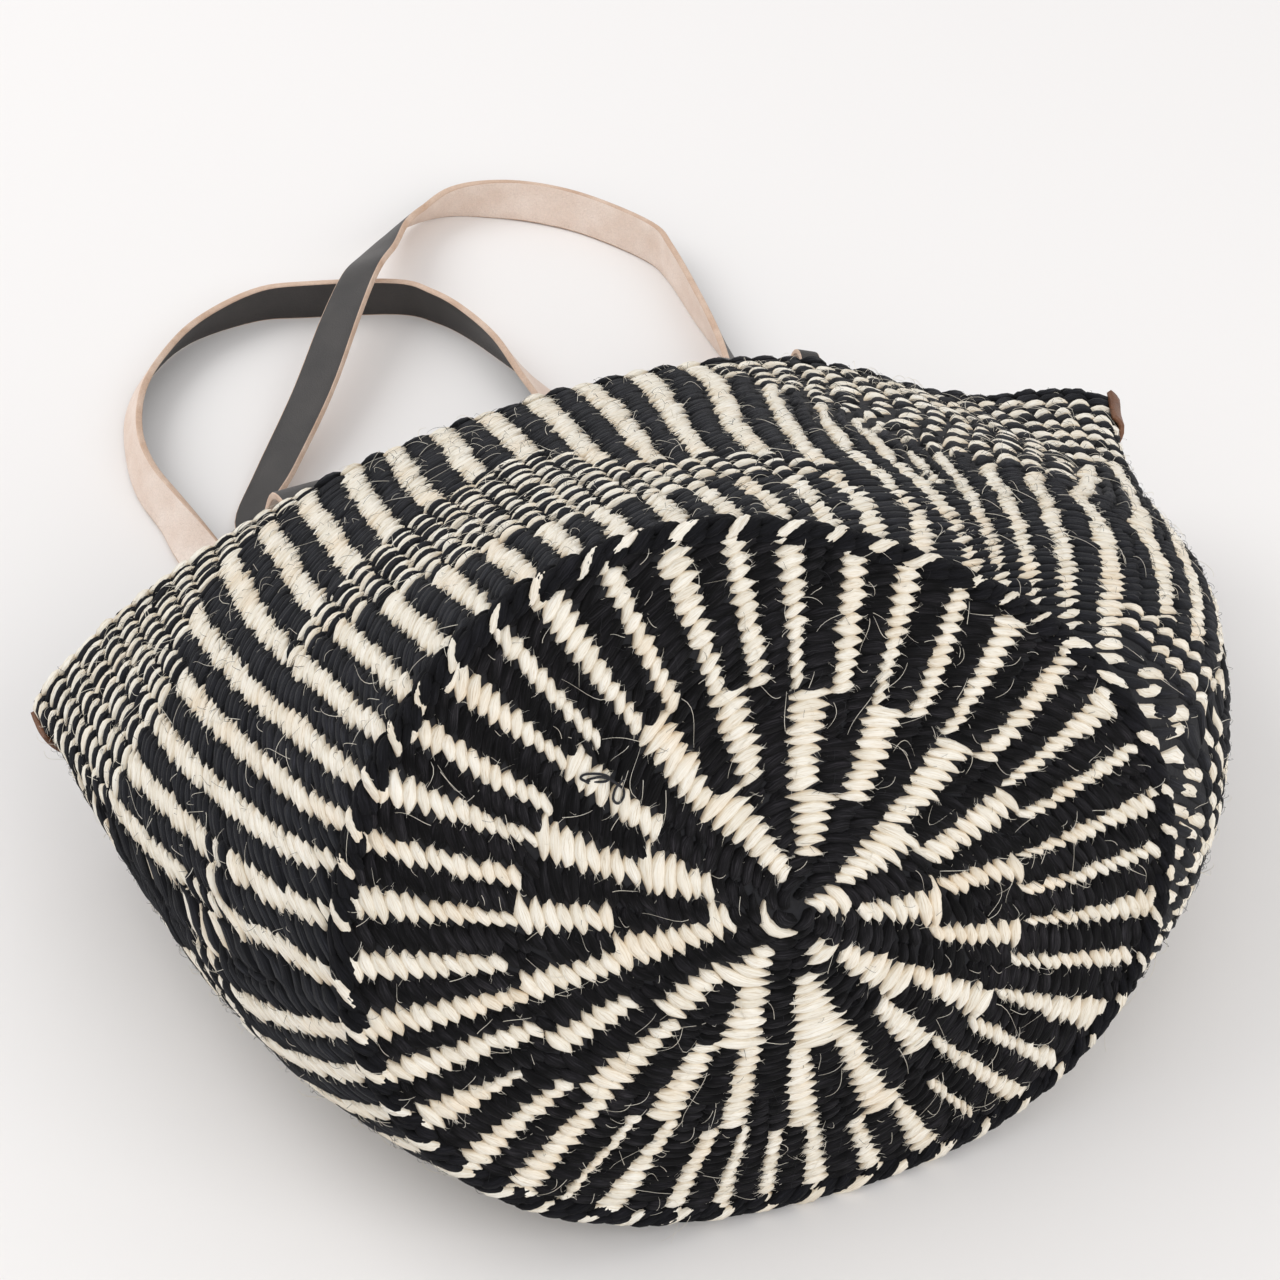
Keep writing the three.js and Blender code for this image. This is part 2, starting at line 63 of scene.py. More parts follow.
baseOut = np.array([math.sin(turn) * math.cos(lean), -math.cos(turn) * math.cos(lean),
                    math.sin(lean)])
baseRight = np.array([math.cos(turn), math.sin(turn), 0])
baseUp = np.cross(baseOut, baseRight)


def unit(v):
    return v / np.maximum(np.linalg.norm(v, axis=-1, keepdims=True), 1e-9)


def unevenness(angle):
    oval = ovalDepth * np.cos(np.radians(2 * (angle - form["baseRoll"])))
    bulge = form["baseBulge"] * np.cos(np.radians(3 * (angle - form["bulgeTurn"])))
    return (oval + bulge) / meanRadius


below = np.arange(-180, 0)
lowest = (meanRadius * (1 + unevenness(below)) * np.sin(np.radians(below)) * baseUp[2]).min()
baseCentre = np.array([form["baseX"], form["baseY"], form["edgeRadius"] - lowest])
baseFall = meanRadius * baseUp[2]


def sagging(angle, share):
    def depth(sag):
        return sag[0] * np.exp(-((angle - sag[1]) / sag[2]) ** 2)
    return depth(form["wallSag"]) * np.sin(np.pi * share) + depth(form["rimSag"]) * share ** 2


# Middle surface of the wall, from the base edge (share 0) to the rim (share 1).
def wallPoint(angle, share):
    angle, share = np.broadcast_arrays(np.asarray(angle, float), np.asarray(share, float))
    angle = (angle + 180) % 360 - 180
    share = np.clip(share, 0, 1)
    left = 1 - share
    rho = 1 + unevenness(angle) * left ** 2
    turned = np.radians(angle + form["twist"] * share)
    pinch = share ** form["pinchStart"]
    even = 2 / np.pi * np.arcsin(np.clip(np.cos(turned), -1, 1))
    across = np.cos(turned) * (1 - pinch) + even * pinch
    across = across - form["pinchSkew"] * pinch * (1 - across ** 2)
    level = np.clip(1 - across ** 2, 0, 1)
    upper = np.sin(turned) >= 0
    corner = form["cornerHeight"]
    cx = baseCentre[0] * left ** form["sideShift"]
    cy = baseCentre[1] * left ** form["depthShift"]
    cz = corner + (baseCentre[2] - corner) * left ** form["cornerDrop"]
    flare = np.where(across < 0, *form["flare"])
    waist = np.where(across < 0, *form["waist"])
    halfWidth = meanRadius + (form["mouth"] / 2 - meanRadius) * (1 - left ** flare)
    halfWidth = halfWidth - waist * np.sin(np.pi * share ** form["waistPlace"])
    halfHeight = np.where(
        upper, baseFall * left + baseCentre[2] * left + form["archHeight"] * share - cz,
        cz - form["halfWall"] + (baseFall - baseCentre[2] + form["halfWall"]) * left)
    rounding = pinch * math.sqrt(form["cornerRadius"] * form["mouth"] / 2) / halfHeight
    full = form["fullness"] * np.clip(np.sin(np.pi * share), 0, 1) ** .7
    power = np.where(upper, .5, .5 - full) + (form["archPower"] - .5) * pinch
    pinched = (level ** (4 * power) + (rounding * np.sqrt(level) * (1 - level)) ** 4) ** .25
    high = np.where(upper, 1 - sagging(angle, share), -1) * pinched * rho
    forward = np.where(upper, form["archForward"], form["floorBack"])
    sideways = unit(baseRight * left[..., None] + np.stack([share, share * 0, share * 0], -1))
    reach = (halfWidth * across * rho)[..., None] * sideways
    x = cx + reach[..., 0] + high * meanRadius * baseUp[0] * left
    y = cy + reach[..., 1] + high * (meanRadius * baseUp[1] * left + forward * share)
    z = cz + reach[..., 2] + high * halfHeight
    return np.stack([x, y, np.maximum(z, form["halfWall"])], -1)


def basePlanePoint(angle):
    reach = (meanRadius * (1 + unevenness(angle)))[..., None]
    turned = np.radians(angle)[..., None]
    return baseCentre + reach * (np.cos(turned) * baseRight + np.sin(turned) * baseUp)


# Middle surface of the base, from where the weaving starts (share 0) to its edge (share 1).
def basePoint(angle, share):
    angle, share = np.broadcast_arrays(np.asarray(angle, float), np.asarray(share, float))
    start = baseCentre + form["start"][0] * baseRight + form["start"][1] * baseUp
    far = np.clip(share, 0, 1.02)[..., None]
    return start + (basePlanePoint(angle) - start) * far + baseOut * form["dome"] * (1 - far ** 2)


# The round edge between base and wall, from the base's side (share 0) over to the wall's.
def edgePoint(angle, share):
    angle, share = np.broadcast_arrays(np.asarray(angle, float), np.asarray(share, float))
    along = unit(basePlanePoint(angle + 1) - basePlanePoint(angle - 1))
    away = np.cross(along, baseOut)
    bend = np.radians(160 - 215 * share)[..., None]
    round3 = np.cos(bend) * away + np.sin(bend) * baseOut
    point = basePlanePoint(angle) + (form["edgeRadius"] - 1.6) * round3
    point[..., 2] = np.maximum(point[..., 2], 1.5)
    return point


# The rolled rim of the mouth, from outside (share 0) over to inside (share 1).
def rimPoint(angle, share):
    angle, share = np.broadcast_arrays(np.asarray(angle, float), np.asarray(share, float))
    centre = wallPoint(angle, 1)
    centre[..., 2] = np.maximum(centre[..., 2], form["rimRadius"])
    around = unit(wallPoint(angle + .7, 1) - wallPoint(angle - .7, 1))
    up = centre - wallPoint(angle, .97)
    up = unit(up - (up * around).sum(-1, keepdims=True) * around)
    out = np.cross(up, around)
    bend = np.radians(-40 + 260 * share)[..., None]
    point = centre + (form["rimRadius"] - 1.1) * (np.cos(bend) * out + np.sin(bend) * up)
    point[..., 2] = np.maximum(point[..., 2], 1)
    return point


def outward(surface, angle, share):
    around = surface(angle + .8, share) - surface(angle - .8, share)
    along = surface(angle, share + .006) - surface(angle, share - .006)
    return unit(np.cross(along, around))


def drape(surface, angle, share, height):
    out = outward(surface, angle, share)
    return surface(angle, share) + out * np.asarray(height)[..., None]


def meshFrom(name, points, faces, uv, materials, kinds=None):
    mesh = bpy.data.meshes.new(name)
    size = faces.shape[1]
    mesh.vertices.add(len(points))
    mesh.vertices.foreach_set("co", ((points + place) * .001).astype(np.float32).ravel())
    mesh.loops.add(faces.size)
    mesh.loops.foreach_set("vertex_index", faces.astype(np.int32).ravel())
    mesh.polygons.add(len(faces))
    mesh.polygons.foreach_set("loop_start", np.arange(0, faces.size, size, dtype=np.int32))
    layer = mesh.uv_layers.new(name="OFBake")
    layer.data.foreach_set("uv", uv.astype(np.float32).reshape(-1))
    for material in materials:
        mesh.materials.append(material)
    if kinds is not None:
        mesh.polygons.foreach_set("material_index", kinds.astype(np.int32))
    mesh.polygons.foreach_set("use_smooth", np.ones(len(faces), bool))
    mesh.update(calc_edges=True)
    mesh.validate()
    piece = bpy.data.objects.new(name, mesh)
    bpy.context.scene.collection.objects.link(piece)
    return piece


# Pieces fixed to the bag's own body. The first one stands in for the solid that is named.
def onBag(pieces, replaced=None):
    for piece in pieces:
        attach(piece, "bag")
    if replaced:
        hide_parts(replaced)


def gridFaces(rows, columns, looped=False):
    across = columns if looped else columns - 1
    i, j = np.meshgrid(np.arange(rows - 1), np.arange(across), indexing="ij")
    after = (j + 1) % columns
    return np.stack([i * columns + j, i * columns + after, (i + 1) * columns + after,
                     (i + 1) * columns + j], -1).reshape(-1, 4)


# Each stitch is one pillow, pointed at both ends, that follows the surface under it. A row of
# laid is: angle, share, half its turn, half its row, slant, bow, height.
def layStitches(name, surface, laid, look, material, side=1):
    laid = np.array(laid, float)
    long, wide = look["quads"]
    u = np.sin(np.linspace(-1, 1, long + 1) * math.pi / 2)
    v = np.sin(np.linspace(-1, 1, wide + 1) * math.pi / 2)
    u, v = (grid.ravel() for grid in np.meshgrid(u, v, indexing="ij"))
    width = .04 + .96 * (1 - np.abs(u) ** look["point"]) ** look["taper"]
    rise = np.sqrt(np.clip(1 - v ** 2, 0, 1)) * (1 - np.abs(u) ** 3) ** .6
    angle = laid[:, 0:1] - laid[:, 2:3] * u
    share = (laid[:, 1:2] + laid[:, 3:4] * width * v
             + laid[:, 4:5] * np.sin(u * math.pi / 2) + laid[:, 5:6] * (1 - u ** 2))
    height = look["foot"] + laid[:, 6:7] * (rise + look["tilt"] * v * width)
    points = drape(surface, angle.ravel(), share.ravel(), side * height.ravel())
    points[:, 2] = np.maximum(points[:, 2], .15)
    single = gridFaces(long + 1, wide + 1)
    if side < 0:
        single = single[:, ::-1]
    count, each = len(laid), (long + 1) * (wide + 1)
    faces = (single[None] + np.arange(count)[:, None, None] * each).reshape(-1, 4)
    cells = look["cells"]
    cell = np.arange(count)
    uvU = ((cell % cells)[:, None] + .05 + .9 * (u + 1) / 2) / cells
    uvV = ((cell // cells)[:, None] + .05 + .9 * (v + 1) / 2) / cells
    uv = np.stack([uvU.ravel(), uvV.ravel()], -1)[faces.ravel()]
    return meshFrom(name, points, faces, uv, [material])


# One plain near-black sheet behind the stitches, all round the bag: painted shade that shows in the
# gaps between them.
def backing(name, surface, turns, shares, height, side=1):
    angles, shares = np.linspace(-180, 180, turns), np.linspace(*shares)
    a, s = np.meshgrid(angles, shares, indexing="ij")
    points = drape(surface, a.ravel(), s.ravel(), np.full(a.size, height * side))
    points[:, 2] = np.maximum(points[:, 2], .1)
    faces = gridFaces(len(angles), len(shares))
    faces = faces[:, ::-1] if side > 0 else faces
    i, j = np.meshgrid(np.linspace(0, 1, len(angles)), np.linspace(0, 1, len(shares)),
                       indexing="ij")
    uv = np.stack([i.ravel(), j.ravel()], -1)[faces.ravel()]
    return meshFrom(name, points, faces, uv, [shadeBacking])


def nodeTools(name):
    material = bpy.data.materials.new(name)
    material.use_nodes = True
    tree = material.node_tree
    shader = tree.nodes["Principled BSDF"]

    def node(kind, settings=None, **inputs):
        made = tree.nodes.new("ShaderNode" + kind)
        for key, value in (settings or {}).items():
            setattr(made, key, value)
        for key, value in inputs.items():
            socket = made.inputs[int(key[1:])] if key[0] == "i" and key[1:].isdigit() \
                else made.inputs[key]
            if isinstance(value, bpy.types.NodeSocket):
                tree.links.new(value, socket)
            else:
                socket.default_value = value
        return made

    def ramp(value, stops):
        made = node("ValToRGB", Fac=value)
        while len(made.color_ramp.elements) < len(stops):
            made.color_ramp.elements.new(.5)
        for element, (at, colour) in zip(made.color_ramp.elements, stops):
            element.position = at
            element.color = (*colour, 1)
        return made.outputs["Color"]

    def mix(blend, factor, a, b):
        made = node("Mix", {"data_type": "RGBA", "blend_type": blend})
        for socket, value in ((made.inputs[0], factor), (made.inputs[6], a), (made.inputs[7], b)):
            if isinstance(value, bpy.types.NodeSocket):
                tree.links.new(value, socket)
            else:
                socket.default_value = value
        return made.outputs[2]

    return material, tree, shader, node, ramp, mix


# Colour, roughness that follows one noise, and bump, all linked to the shader.
def linkLook(shader, node, colour, noise, rough, relief, strength, distance):
    ranged = node("MapRange", Value=noise)
    ranged.inputs[3].default_value, ranged.inputs[4].default_value = rough
    bump = node("Bump", Height=relief, Strength=strength, Distance=distance)
    for name, value in (("Base Color", colour), ("Roughness", ranged.outputs[0]),
                        ("Normal", bump.outputs[0])):
        shader.id_data.links.new(value, shader.inputs[name])


# Sisal yarn: long fibres along each stitch, a tone of its own for each stitch, warm patches, and
# painted shade that darkens each stitch towards its ends and sides.
def sisal(name, look):
    material, tree, shader, node, ramp, mix = nodeTools(name)
    uv = node("UVMap", {"uv_map": "OFBake"}).outputs["UV"]
    cells = look["cells"]
    laid = node("Mapping", Vector=uv, Scale=(cells * 1.3, cells * look["strands"], 1))
    fibres = node("TexNoise", Vector=laid.outputs[0], Scale=1.6, Detail=4, Roughness=.62)
    ply = node("Mapping", Vector=uv, Scale=(cells * 1.0, cells * 3.0, 1))
    plies = node("TexNoise", Vector=ply.outputs[0], Scale=1.3, Detail=1)
    apart = node("VectorMath", {"operation": "MULTIPLY"}, i0=uv, i1=(cells, cells, 0))
    whole = node("VectorMath", {"operation": "FLOOR"}, i0=apart.outputs[0])
    tone = node("TexWhiteNoise", {"noise_dimensions": "2D"}, Vector=whole.outputs[0])
    where = node("TexCoord").outputs["Object"]
    patches = node("TexNoise", Vector=where, Scale=look["patchScale"], Detail=2)
    colour = ramp(fibres.outputs[0], look["fibres"])
    colour = mix("MULTIPLY", .85, colour, ramp(tone.outputs[0], look["tones"]))
    colour = mix("MIX", ramp(patches.outputs[0], [(.5, (0, 0, 0)), (.72, (1, 1, 1))]),
                 colour, mix("MULTIPLY", 1, colour, (*look["patch"], 1)))
    # Painted shade, partly dirt: each stitch darker towards the edges of its cell, for the yarn's
    # roundness; a ramp above 1 at the middle is a painted highlight.
    inCell = node("VectorMath", {"operation": "FRACTION"}, i0=apart.outputs[0])
    middle = node("VectorMath", {"operation": "DISTANCE"}, i0=inCell.outputs[0], i1=(.5, .5, 0))
    colour = mix("MULTIPLY", look["shadeAndWear"], colour, ramp(middle.outputs["Value"], look["stitchShading"]))
    relief = node("Math", {"operation": "ADD"}, i0=fibres.outputs[0], i1=plies.outputs[0])
    linkLook(shader, node, colour, fibres.outputs[0], look["rough"], relief.outputs[0],
             look["bump"], .0007)
    shader.inputs["Sheen Weight"].default_value = look["sheen"]
    shader.inputs["Sheen Roughness"].default_value = .5
    shader.inputs["Specular IOR Level"].default_value = look["gloss"]
    return material


creamYarn = {
    "cells": 64, "strands": 9, "patchScale": 34,
    "fibres": [(.28, (.60, .50, .37)), (.42, (.84, .77, .65)), (.55, (.93, .885, .79)),
               (.75, (.97, .945, .88))],
    "tones": [(0, (.89, .87, .83)), (.5, (.97, .965, .95)), (1, (1, 1, 1))],
    "patch": (.98, .92, .85), "rough": (.62, .82), "bump": .6, "sheen": .1, "gloss": .3,
    # painted shade, partly dirt: how much and how each stitch darkens towards its edges
    "shadeAndWear": .8, "stitchShading": [(.26, (1, 1, 1)), (.4, (.93, .88, .8)), (.5, (.6, .5, .39))],
}
blackYarn = {
    "cells": 64, "strands": 8, "patchScale": 26,
    "fibres": [(.3, (.0025, .0025, .0032)), (.5, (.0055, .0055, .007)),
               (.72, (.015, .015, .0185))],
    "tones": [(0, (.6, .6, .62)), (1, (1, 1, 1))],
    "patch": (1.4, 1.35, 1.35), "rough": (.8, .95), "bump": .75, "sheen": .02, "gloss": .14,
    # painted shade towards each stitch's edges, partly dirt, and a painted highlight at its middle
    "shadeAndWear": .9, "stitchShading": [(.12, (1.5, 1.5, 1.5)), (.34, (.9, .9, .9)), (.48, (.3, .3, .3))],
}
fuzzyBlackYarn = dict(blackYarn, fibres=[(.3, (.004, .004, .0055)), (.5, (.009, .0095, .012)),
                                         (.72, (.024, .025, .031))], sheen=.06)
creamOnBase = sisal("cream sisal of the base", dict(creamYarn, cells=32))
creamOnWall = sisal("cream sisal of the wall", creamYarn)
blackOnBase = sisal("black sisal of the base", dict(
    blackYarn, cells=36, bump=1, fibres=[(.3, (.0035, .0034, .004)), (.5, (.009, .0085, .0098)),
                                         (.7, (.032, .030, .034))]))
blackOnWall = sisal("black sisal of the wall", fuzzyBlackYarn)


# Dark sheet behind the stitches, and the plain inside of the bag: its near-black is painted shade
# in the gaps between stitches and inside the bag.
def cloth(name, dark, light):
    material, tree, shader, node, ramp, mix = nodeTools(name)
    where = node("TexCoord").outputs["Object"]
    lumps = node("TexNoise", Vector=where, Scale=420, Detail=3)
    patches = node("TexNoise", Vector=where, Scale=60, Detail=2)
    colour = mix("MIX", patches.outputs[0], ramp(lumps.outputs[0], [(.35, dark), (.7, light)]),
                 (*dark, 1))
    linkLook(shader, node, colour, lumps.outputs[0], (.75, .95), lumps.outputs[0], .6, .0008)
    return material


# near-black painted shade for the gaps between stitches and the inside of the bag
shadeBacking = cloth("dark backing", (.006, .006, .008), (.016, .016, .02))


def jitter(size):
    return 1 + dice.normal(0, size)


def mmPerDegree(surface, angle, share):
    step = surface(np.array([angle + 1.0]), share) - surface(np.array([angle - 1.0]), share)
    return float(np.linalg.norm(step)) / 2


# The base: each cream stripe starts and ends at a share, with an angle for each of its sides
# there. Where one ends, two go on beside it.
base = {
    "stripes": [
        (.03, -26, 24, .12, -24, 22), (.065, -197, -104, .098, -190, -98),
        (.09, 93, 111, .17, 92, 119), (.17, 95, 120, .35, 105, 123),
        (.12, 8, 29, .32, 9, 33), (.155, 56, 82, .33, 61, 84),
        (.14, 163, 187, .215, 160, 187), (.115, -148, -128, .23, -148, -117),
        (.215, -97, -80, .45, -95, -71), (.12, -84, -64, .19, -80, -50),
        (.19, -62, -45, .385, -55, -40), (.16, -25, -12, .35, -24, -9),
        (.23, -133, -115, .42, -125, -108), (.22, -158, -146, .40, -157, -144),
        (.215, 174, 187, .41, 174, 187), (.215, 143, 160, .40, 142, 157),
        (.32, -1, 9.5, .60, 6, 14), (.32, 21, 32.5, .605, 25, 36),
        (.33, 44, 57, .62, 48, 58), (.33, 71, 84, .61, 70, 80.5),
        (.35, 93, 103.5, .61, 92, 101), (.35, 113, 123.5, .60, 111, 120.5),
        (.40, 132, 140, .66, 129.5, 136), (.40, 148, 156.5, .65, 145, 153.5),
        (.41, 164, 172, .65, 163, 171), (.41, -180, -173, .65, -179.5, -173),
        (.41, -165, -158.5, .65, -164, -157.5), (.40, -149, -143, .655, -149, -140.5),
        (.41, -134, -125, .67, -130.5, -123), (.42, -116, -107.5, .71, -111.5, -105),
        (.45, -97, -89, .72, -94, -87), (.45, -79, -71, .745, -76, -69.5),
        (.39, -62.5, -55.5, .61, -61, -53), (.38, -46, -39.5, .64, -45.5, -37),
        (.35, -30, -24, .60, -26.5, -20.5), (.34, -12, -6, .585, -10.5, -4),
        (.65, -176.5, -173, 1.02, -178.5, -173.5), (.65, -168.3, -164.3, 1.02, -170, -166),
        (.72, -159.2, -157.6, .84, -160.5, -157), (.84, -160.8, -156.8, 1.02, -161.7, -156),
        (.655, -152.8, -149.5, 1.02, -150.5, -146.5), (.655, -144.4, -140.4, 1.02, -141.8, -136.4),
        (.655, -134.5, -131.5, .76, -133.5, -131.5), (.76, -133.4, -131.6, 1, -133.2, -131.6),
        (.67, -125.6, -122.6, 1.02, -127, -121.5), (.705, -115.3, -111.8, 1.02, -115.3, -112),
        (.71, -106.3, -104, 1.02, -107, -103.5), (.725, -99, -95.8, 1, -98.2, -95.6),
        (.72, -90, -87, 1.02, -90.2, -85.2), (.745, -80.4, -77, 1.02, -79.2, -75.5),
        (.69, -70.6, -68, 1.02, -70, -65.2), (.72, -62.4, -60.4, .94, -59.6, -58),
        (.61, -55.8, -53, 1, -53.4, -50), (.64, -47.8, -44.8, .98, -46, -43.4),
        (.645, -39, -36.6, 1.02, -38.4, -32.8), (.60, -31.4, -29, .96, -27.7, -24.8),
        (.60, -22, -20.4, 1, -20.2, -16), (.585, -15, -12.4, .98, -11.2, -8.8),
        (.585, -6, -4.2, 1.02, -4.7, -.5), (.60, 2.2, 5.4, .98, 4.8, 7.2),
        (.60, 11.8, 14, 1.02, 12, 17.6), (.605, 19.4, 24, 1.02, 23.6, 27),
        (.605, 32, 35, 1.02, 34, 39.8), (.62, 41.6, 46, 1.02, 45.8, 49.2),
        (.62, 54.4, 57, 1.02, 54.8, 60), (.61, 63.5, 69, 1.02, 65.6, 69.4),
        (.61, 77, 80.2, 1.02, 76, 81), (.61, 85.6, 90.6, 1.02, 85.8, 89.4),
        (.61, 96.4, 100.6, 1.02, 94.3, 99.8), (.60, 107, 111.4, 1, 105, 107.8),
        (.60, 116.7, 120, 1.02, 113, 118.2), (.65, 124.8, 127.8, 1.02, 122, 124.7),
        (.66, 132.2, 135, 1.02, 129.3, 134.5), (.65, 141, 144.6, 1.02, 138.4, 142),
        (.65, 149, 151.7, 1.02, 146.3, 151.4), (.65, 157, 161.4, 1, 155.5, 158.4),
        (.65, 166.4, 169.4, 1.02, 162.7, 168), (.655, 175.3, 179.3, 1.02, 172.5, 176.8)],
    "from": .03, "to": 1.0, "rows": 32, "rowOverlap": .74,
    # how far each stitch leans outward at its clockwise end, by angle, in rows
    "slants": [(-180, .45), (-165, .3), (-130, .1), (-90, .15), (-60, .5), (-20, .6), (20, .5),
               (60, .4), (100, .5), (150, .55), (180, .45)],
    "height": 2.7, "blackHeight": 2.7, "creamLength": 15, "blackLength": 9,
    "creamReach": 1.38, "blackReach": 1.28,
}
baseLook = {"quads": (10, 5), "point": 1.3, "taper": 1, "foot": .7, "tilt": .12, "cells": 32}


# The cream stripes that cross one row, each with the angles of its two sides.
def baseStripes(share):
    crossed = []
    for start, low0, high0, end, low1, high1 in base["stripes"]:
        if start <= share < end:
            part = (share - start) / (end - start)
            low, high = low0 + (low1 - low0) * part, high0 + (high1 - high0) * part
            turned = -360 if low > 180 else 360 if high < -180 else 0
            crossed.append([low + turned, high + turned])
    crossed.sort()
    merged = []
    for low, high in crossed:
        if merged and low < merged[-1][1] + .3:
            merged[-1][1] = max(high, merged[-1][1])
        else:
            merged.append([low, high])
    return merged[::-1]


creamLaid, blackLaid = [], []
slantAngles, slantRows = zip(*base["slants"])
pitch = (base["to"] - base["from"]) / base["rows"]


# Stitches side by side from one angle down to another.
def fillRow(laid, high, low, share, longest, reach, height):
    middle = (high + low) / 2
    length = (high - low) * mmPerDegree(basePoint, middle, share)
    count = max(1, round(length / longest))
    each = (high - low) / count
    for k in range(count):
        at = high - each * (k + .5)
        slant = np.interp((at + 180) % 360 - 180, slantAngles, slantRows)
        laid.append((at + dice.normal(0, .03) * each, share + dice.normal(0, .05) * pitch,
                     each / 2 * reach * jitter(.08), base["rowOverlap"] * pitch * jitter(.08),
                     slant * pitch * jitter(.2), 0, height * jitter(.12)))


for row in range(base["rows"]):
    share = base["from"] + pitch * (row + .5)
    stripes = baseStripes(share)
    for (low, high), (_, nextHigh) in zip(stripes, stripes[1:] + stripes[:1]):
        fillRow(creamLaid, high, low, share, base["creamLength"], base["creamReach"],
                base["height"])
        gapLow = nextHigh - 360 if nextHigh > low else nextHigh
        if low - gapLow > .3:
            fillRow(blackLaid, low, gapLow, share, base["blackLength"], base["blackReach"],
                    base["blackHeight"])
onBag([
    layStitches("base_cream_stitches", basePoint, creamLaid, baseLook, creamOnBase),
    layStitches("base_black_stitches", basePoint, blackLaid,
                dict(baseLook, cells=40, point=1.8, taper=.8), blackOnBase),
    backing("base_backing", basePoint, 121, (0, 1, 24), 1.2),
    backing("base_inside", basePoint, 121, (0, 1, 24), 2.0, side=-1),
], "woven_base")
print("bag: base woven,", len(creamLaid) + len(blackLaid), "stitches")

# The wall's fifty stripes. The seen ones are given by their angles at the knots' shares, and the
# others lie evenly along the part of the wall underneath.
wall = {
    "knots": [0, .05, .1, .2, .35, .5, .7, .85, 1],
    "seen": [
        [184.5, 184, 183.5, 183.1, 182.8, 182.8, 184, 184.7, 185],
        [178, 178, 178.3, 179, 178.4, 178.2, 178.2, 178, 178],
        [168.5, 169.4, 170, 170.8, 171, 171.3, 172, 172, 172],
        [161.5, 162, 162.5, 162.5, 162.9, 163.6, 164.5, 165, 165],
        [156, 155.6, 155.5, 154.8, 155.1, 156.1, 157.5, 158.5, 158.5],
        [150.3, 149.3, 148.8, 147.8, 148.4, 148.9, 150.5, 151.5, 151.5],
        [143.5, 142.6, 142, 141, 141.1, 141.9, 142.8, 143.7, 144],
        [137.5, 136.1, 135.3, 134.5, 134.2, 134.6, 135, 136.5, 137],
        [130.5, 129.2, 128.5, 127.8, 127.3, 127.6, 128.1, 129.5, 130],
        [123.5, 122.1, 121.2, 121, 120.5, 121, 121.6, 122, 122],
        [117, 115.4, 114.6, 114.2, 114, 114.4, 115, 114.9, 115],
        [109.5, 108.6, 108, 107.8, 107.6, 107.6, 107.9, 107.1, 107],
        [103, 101.6, 101.1, 101.4, 101, 100.8, 100.4, 99.9, 99.5],
        [95.5, 93.9, 93.6, 94.2, 94.8, 94.8, 93.5, 92.7, 91],
        [87.3, 86.4, 86.9, 88.5, 89.5, 88.3, 86.5, 84.9, 83],
        [79, 79.6, 80.4, 82.8, 83.9, 82.4, 79.2, 76.4, 74],
        [71.5, 72.8, 74.2, 76.2, 77.1, 75.8, 71, 67.4, 65.5],
        [63.5, 65, 66.7, 70, 70.9, 68.6, 63.6, 59, 57],
        [55.5, 57, 58.2, 62.3, 64.9, 62.5, 56.3, 51, 49],
        [45.5, 48.9, 52.1, 56, 59.3, 56.5, 46.5, 43, 41.5],
        [39.5, 43.9, 46.6, 49.8, 50.2, 47.5, 38, 35.5, 34.5],
        [33, 37.8, 41, 43.9, 44.4, 40, 30, 28, 27.5],
        [26, 31, 33.5, 37.3, 37.5, 32, 21, 20, 20],
        [17, 22.9, 25, 28, 30.3, 23.5, 11, 11.5, 12],
        [6.5, 12.3, 13.5, 16.6, 19, 12.8, 3.5, 3.5, 4],
        [-2, 3.6, 6, 8, 9, 4, -4, -4.5, -4],
        [-8, -2.9, -1, 0, 0, -4, -11, -12, -11.5],
        [-14, -9.3, -8, -8, -8, -11, -18, -19, -18.5]],
    "hidden": 22, "rows": 50, "from": .012, "to": .985, "creamPart": .47,
    "blackLength": 12, "reach": (1.36, 1.24), "edgeBand": (3, 7, -14, 23),
    # where the rows dip into the valley on the right: the share of row part .62, by angle
    "dip": [(-60, .62), (0, .60), (5, .55), (13.7, .46), (20, .42), (28.7, .40),
            (38.7, .40), (43.7, .41), (48.7, .44), (54, .50), (60, .55), (66, .60), (75, .62)],
    "dipPart": .62, "extra": (54.4, .28, .43),
    "rowOverlap": .76, "slant": .8, "height": 2.3, "blackHeight": 2.5,
    "bandRow": (.44, .56), "bandSlant": .5, "bow": .5, "bandHeight": (2.3, 2.4),
    # bands of thin wavy rows: angle, lowest and highest share
    "bands": [
        [(68, .24, .24), (76, .19, .30), (84, .18, .315), (90, .172, .34), (95, .17, .41),
         (98, .17, .50), (100, .17, .555), (107, .18, .58), (113, .20, .56), (121, .225, .49),
         (128, .27, .43), (134, .305, .40), (141, .315, .375), (143, .34, .34)],
        [(167, .25, .25), (170, .235, .275), (176, .235, .29), (180, .25, .36), (184, .27, .40),
         (190, .27, .36), (196, .25, .25)],
    ],
    "rimBand": [(-180, .62), (-170, .62), (-160, .7), (-140, .95), (-50, .95), (-25, .8), (0, .76),
                (5, .73), (13.7, .64), (20, .54), (28.7, .41), (38.7, .40), (43.7, .41),
                (48.7, .44), (50.6, .5), (54.4, .54), (56, .6), (57.5, .68), (61.9, .8), (64, .87),
                (66, 1.01), (124, 1.01), (132, .93), (139, .905), (146, .85), (150, .78),
                (153, .72), (157, .62), (160, .585), (165, .56), (170, .585), (175, .6),
                (180, .62)],
}
wallLook = {"quads": (8, 4), "point": 1.4, "taper": 1, "foot": .7, "tilt": .15, "cells": 64}
bandLook = {"quads": (8, 4), "point": 2.2, "taper": .8, "foot": .7, "tilt": .3, "cells": 72}
shareSteps = np.linspace(0, 1, 41)


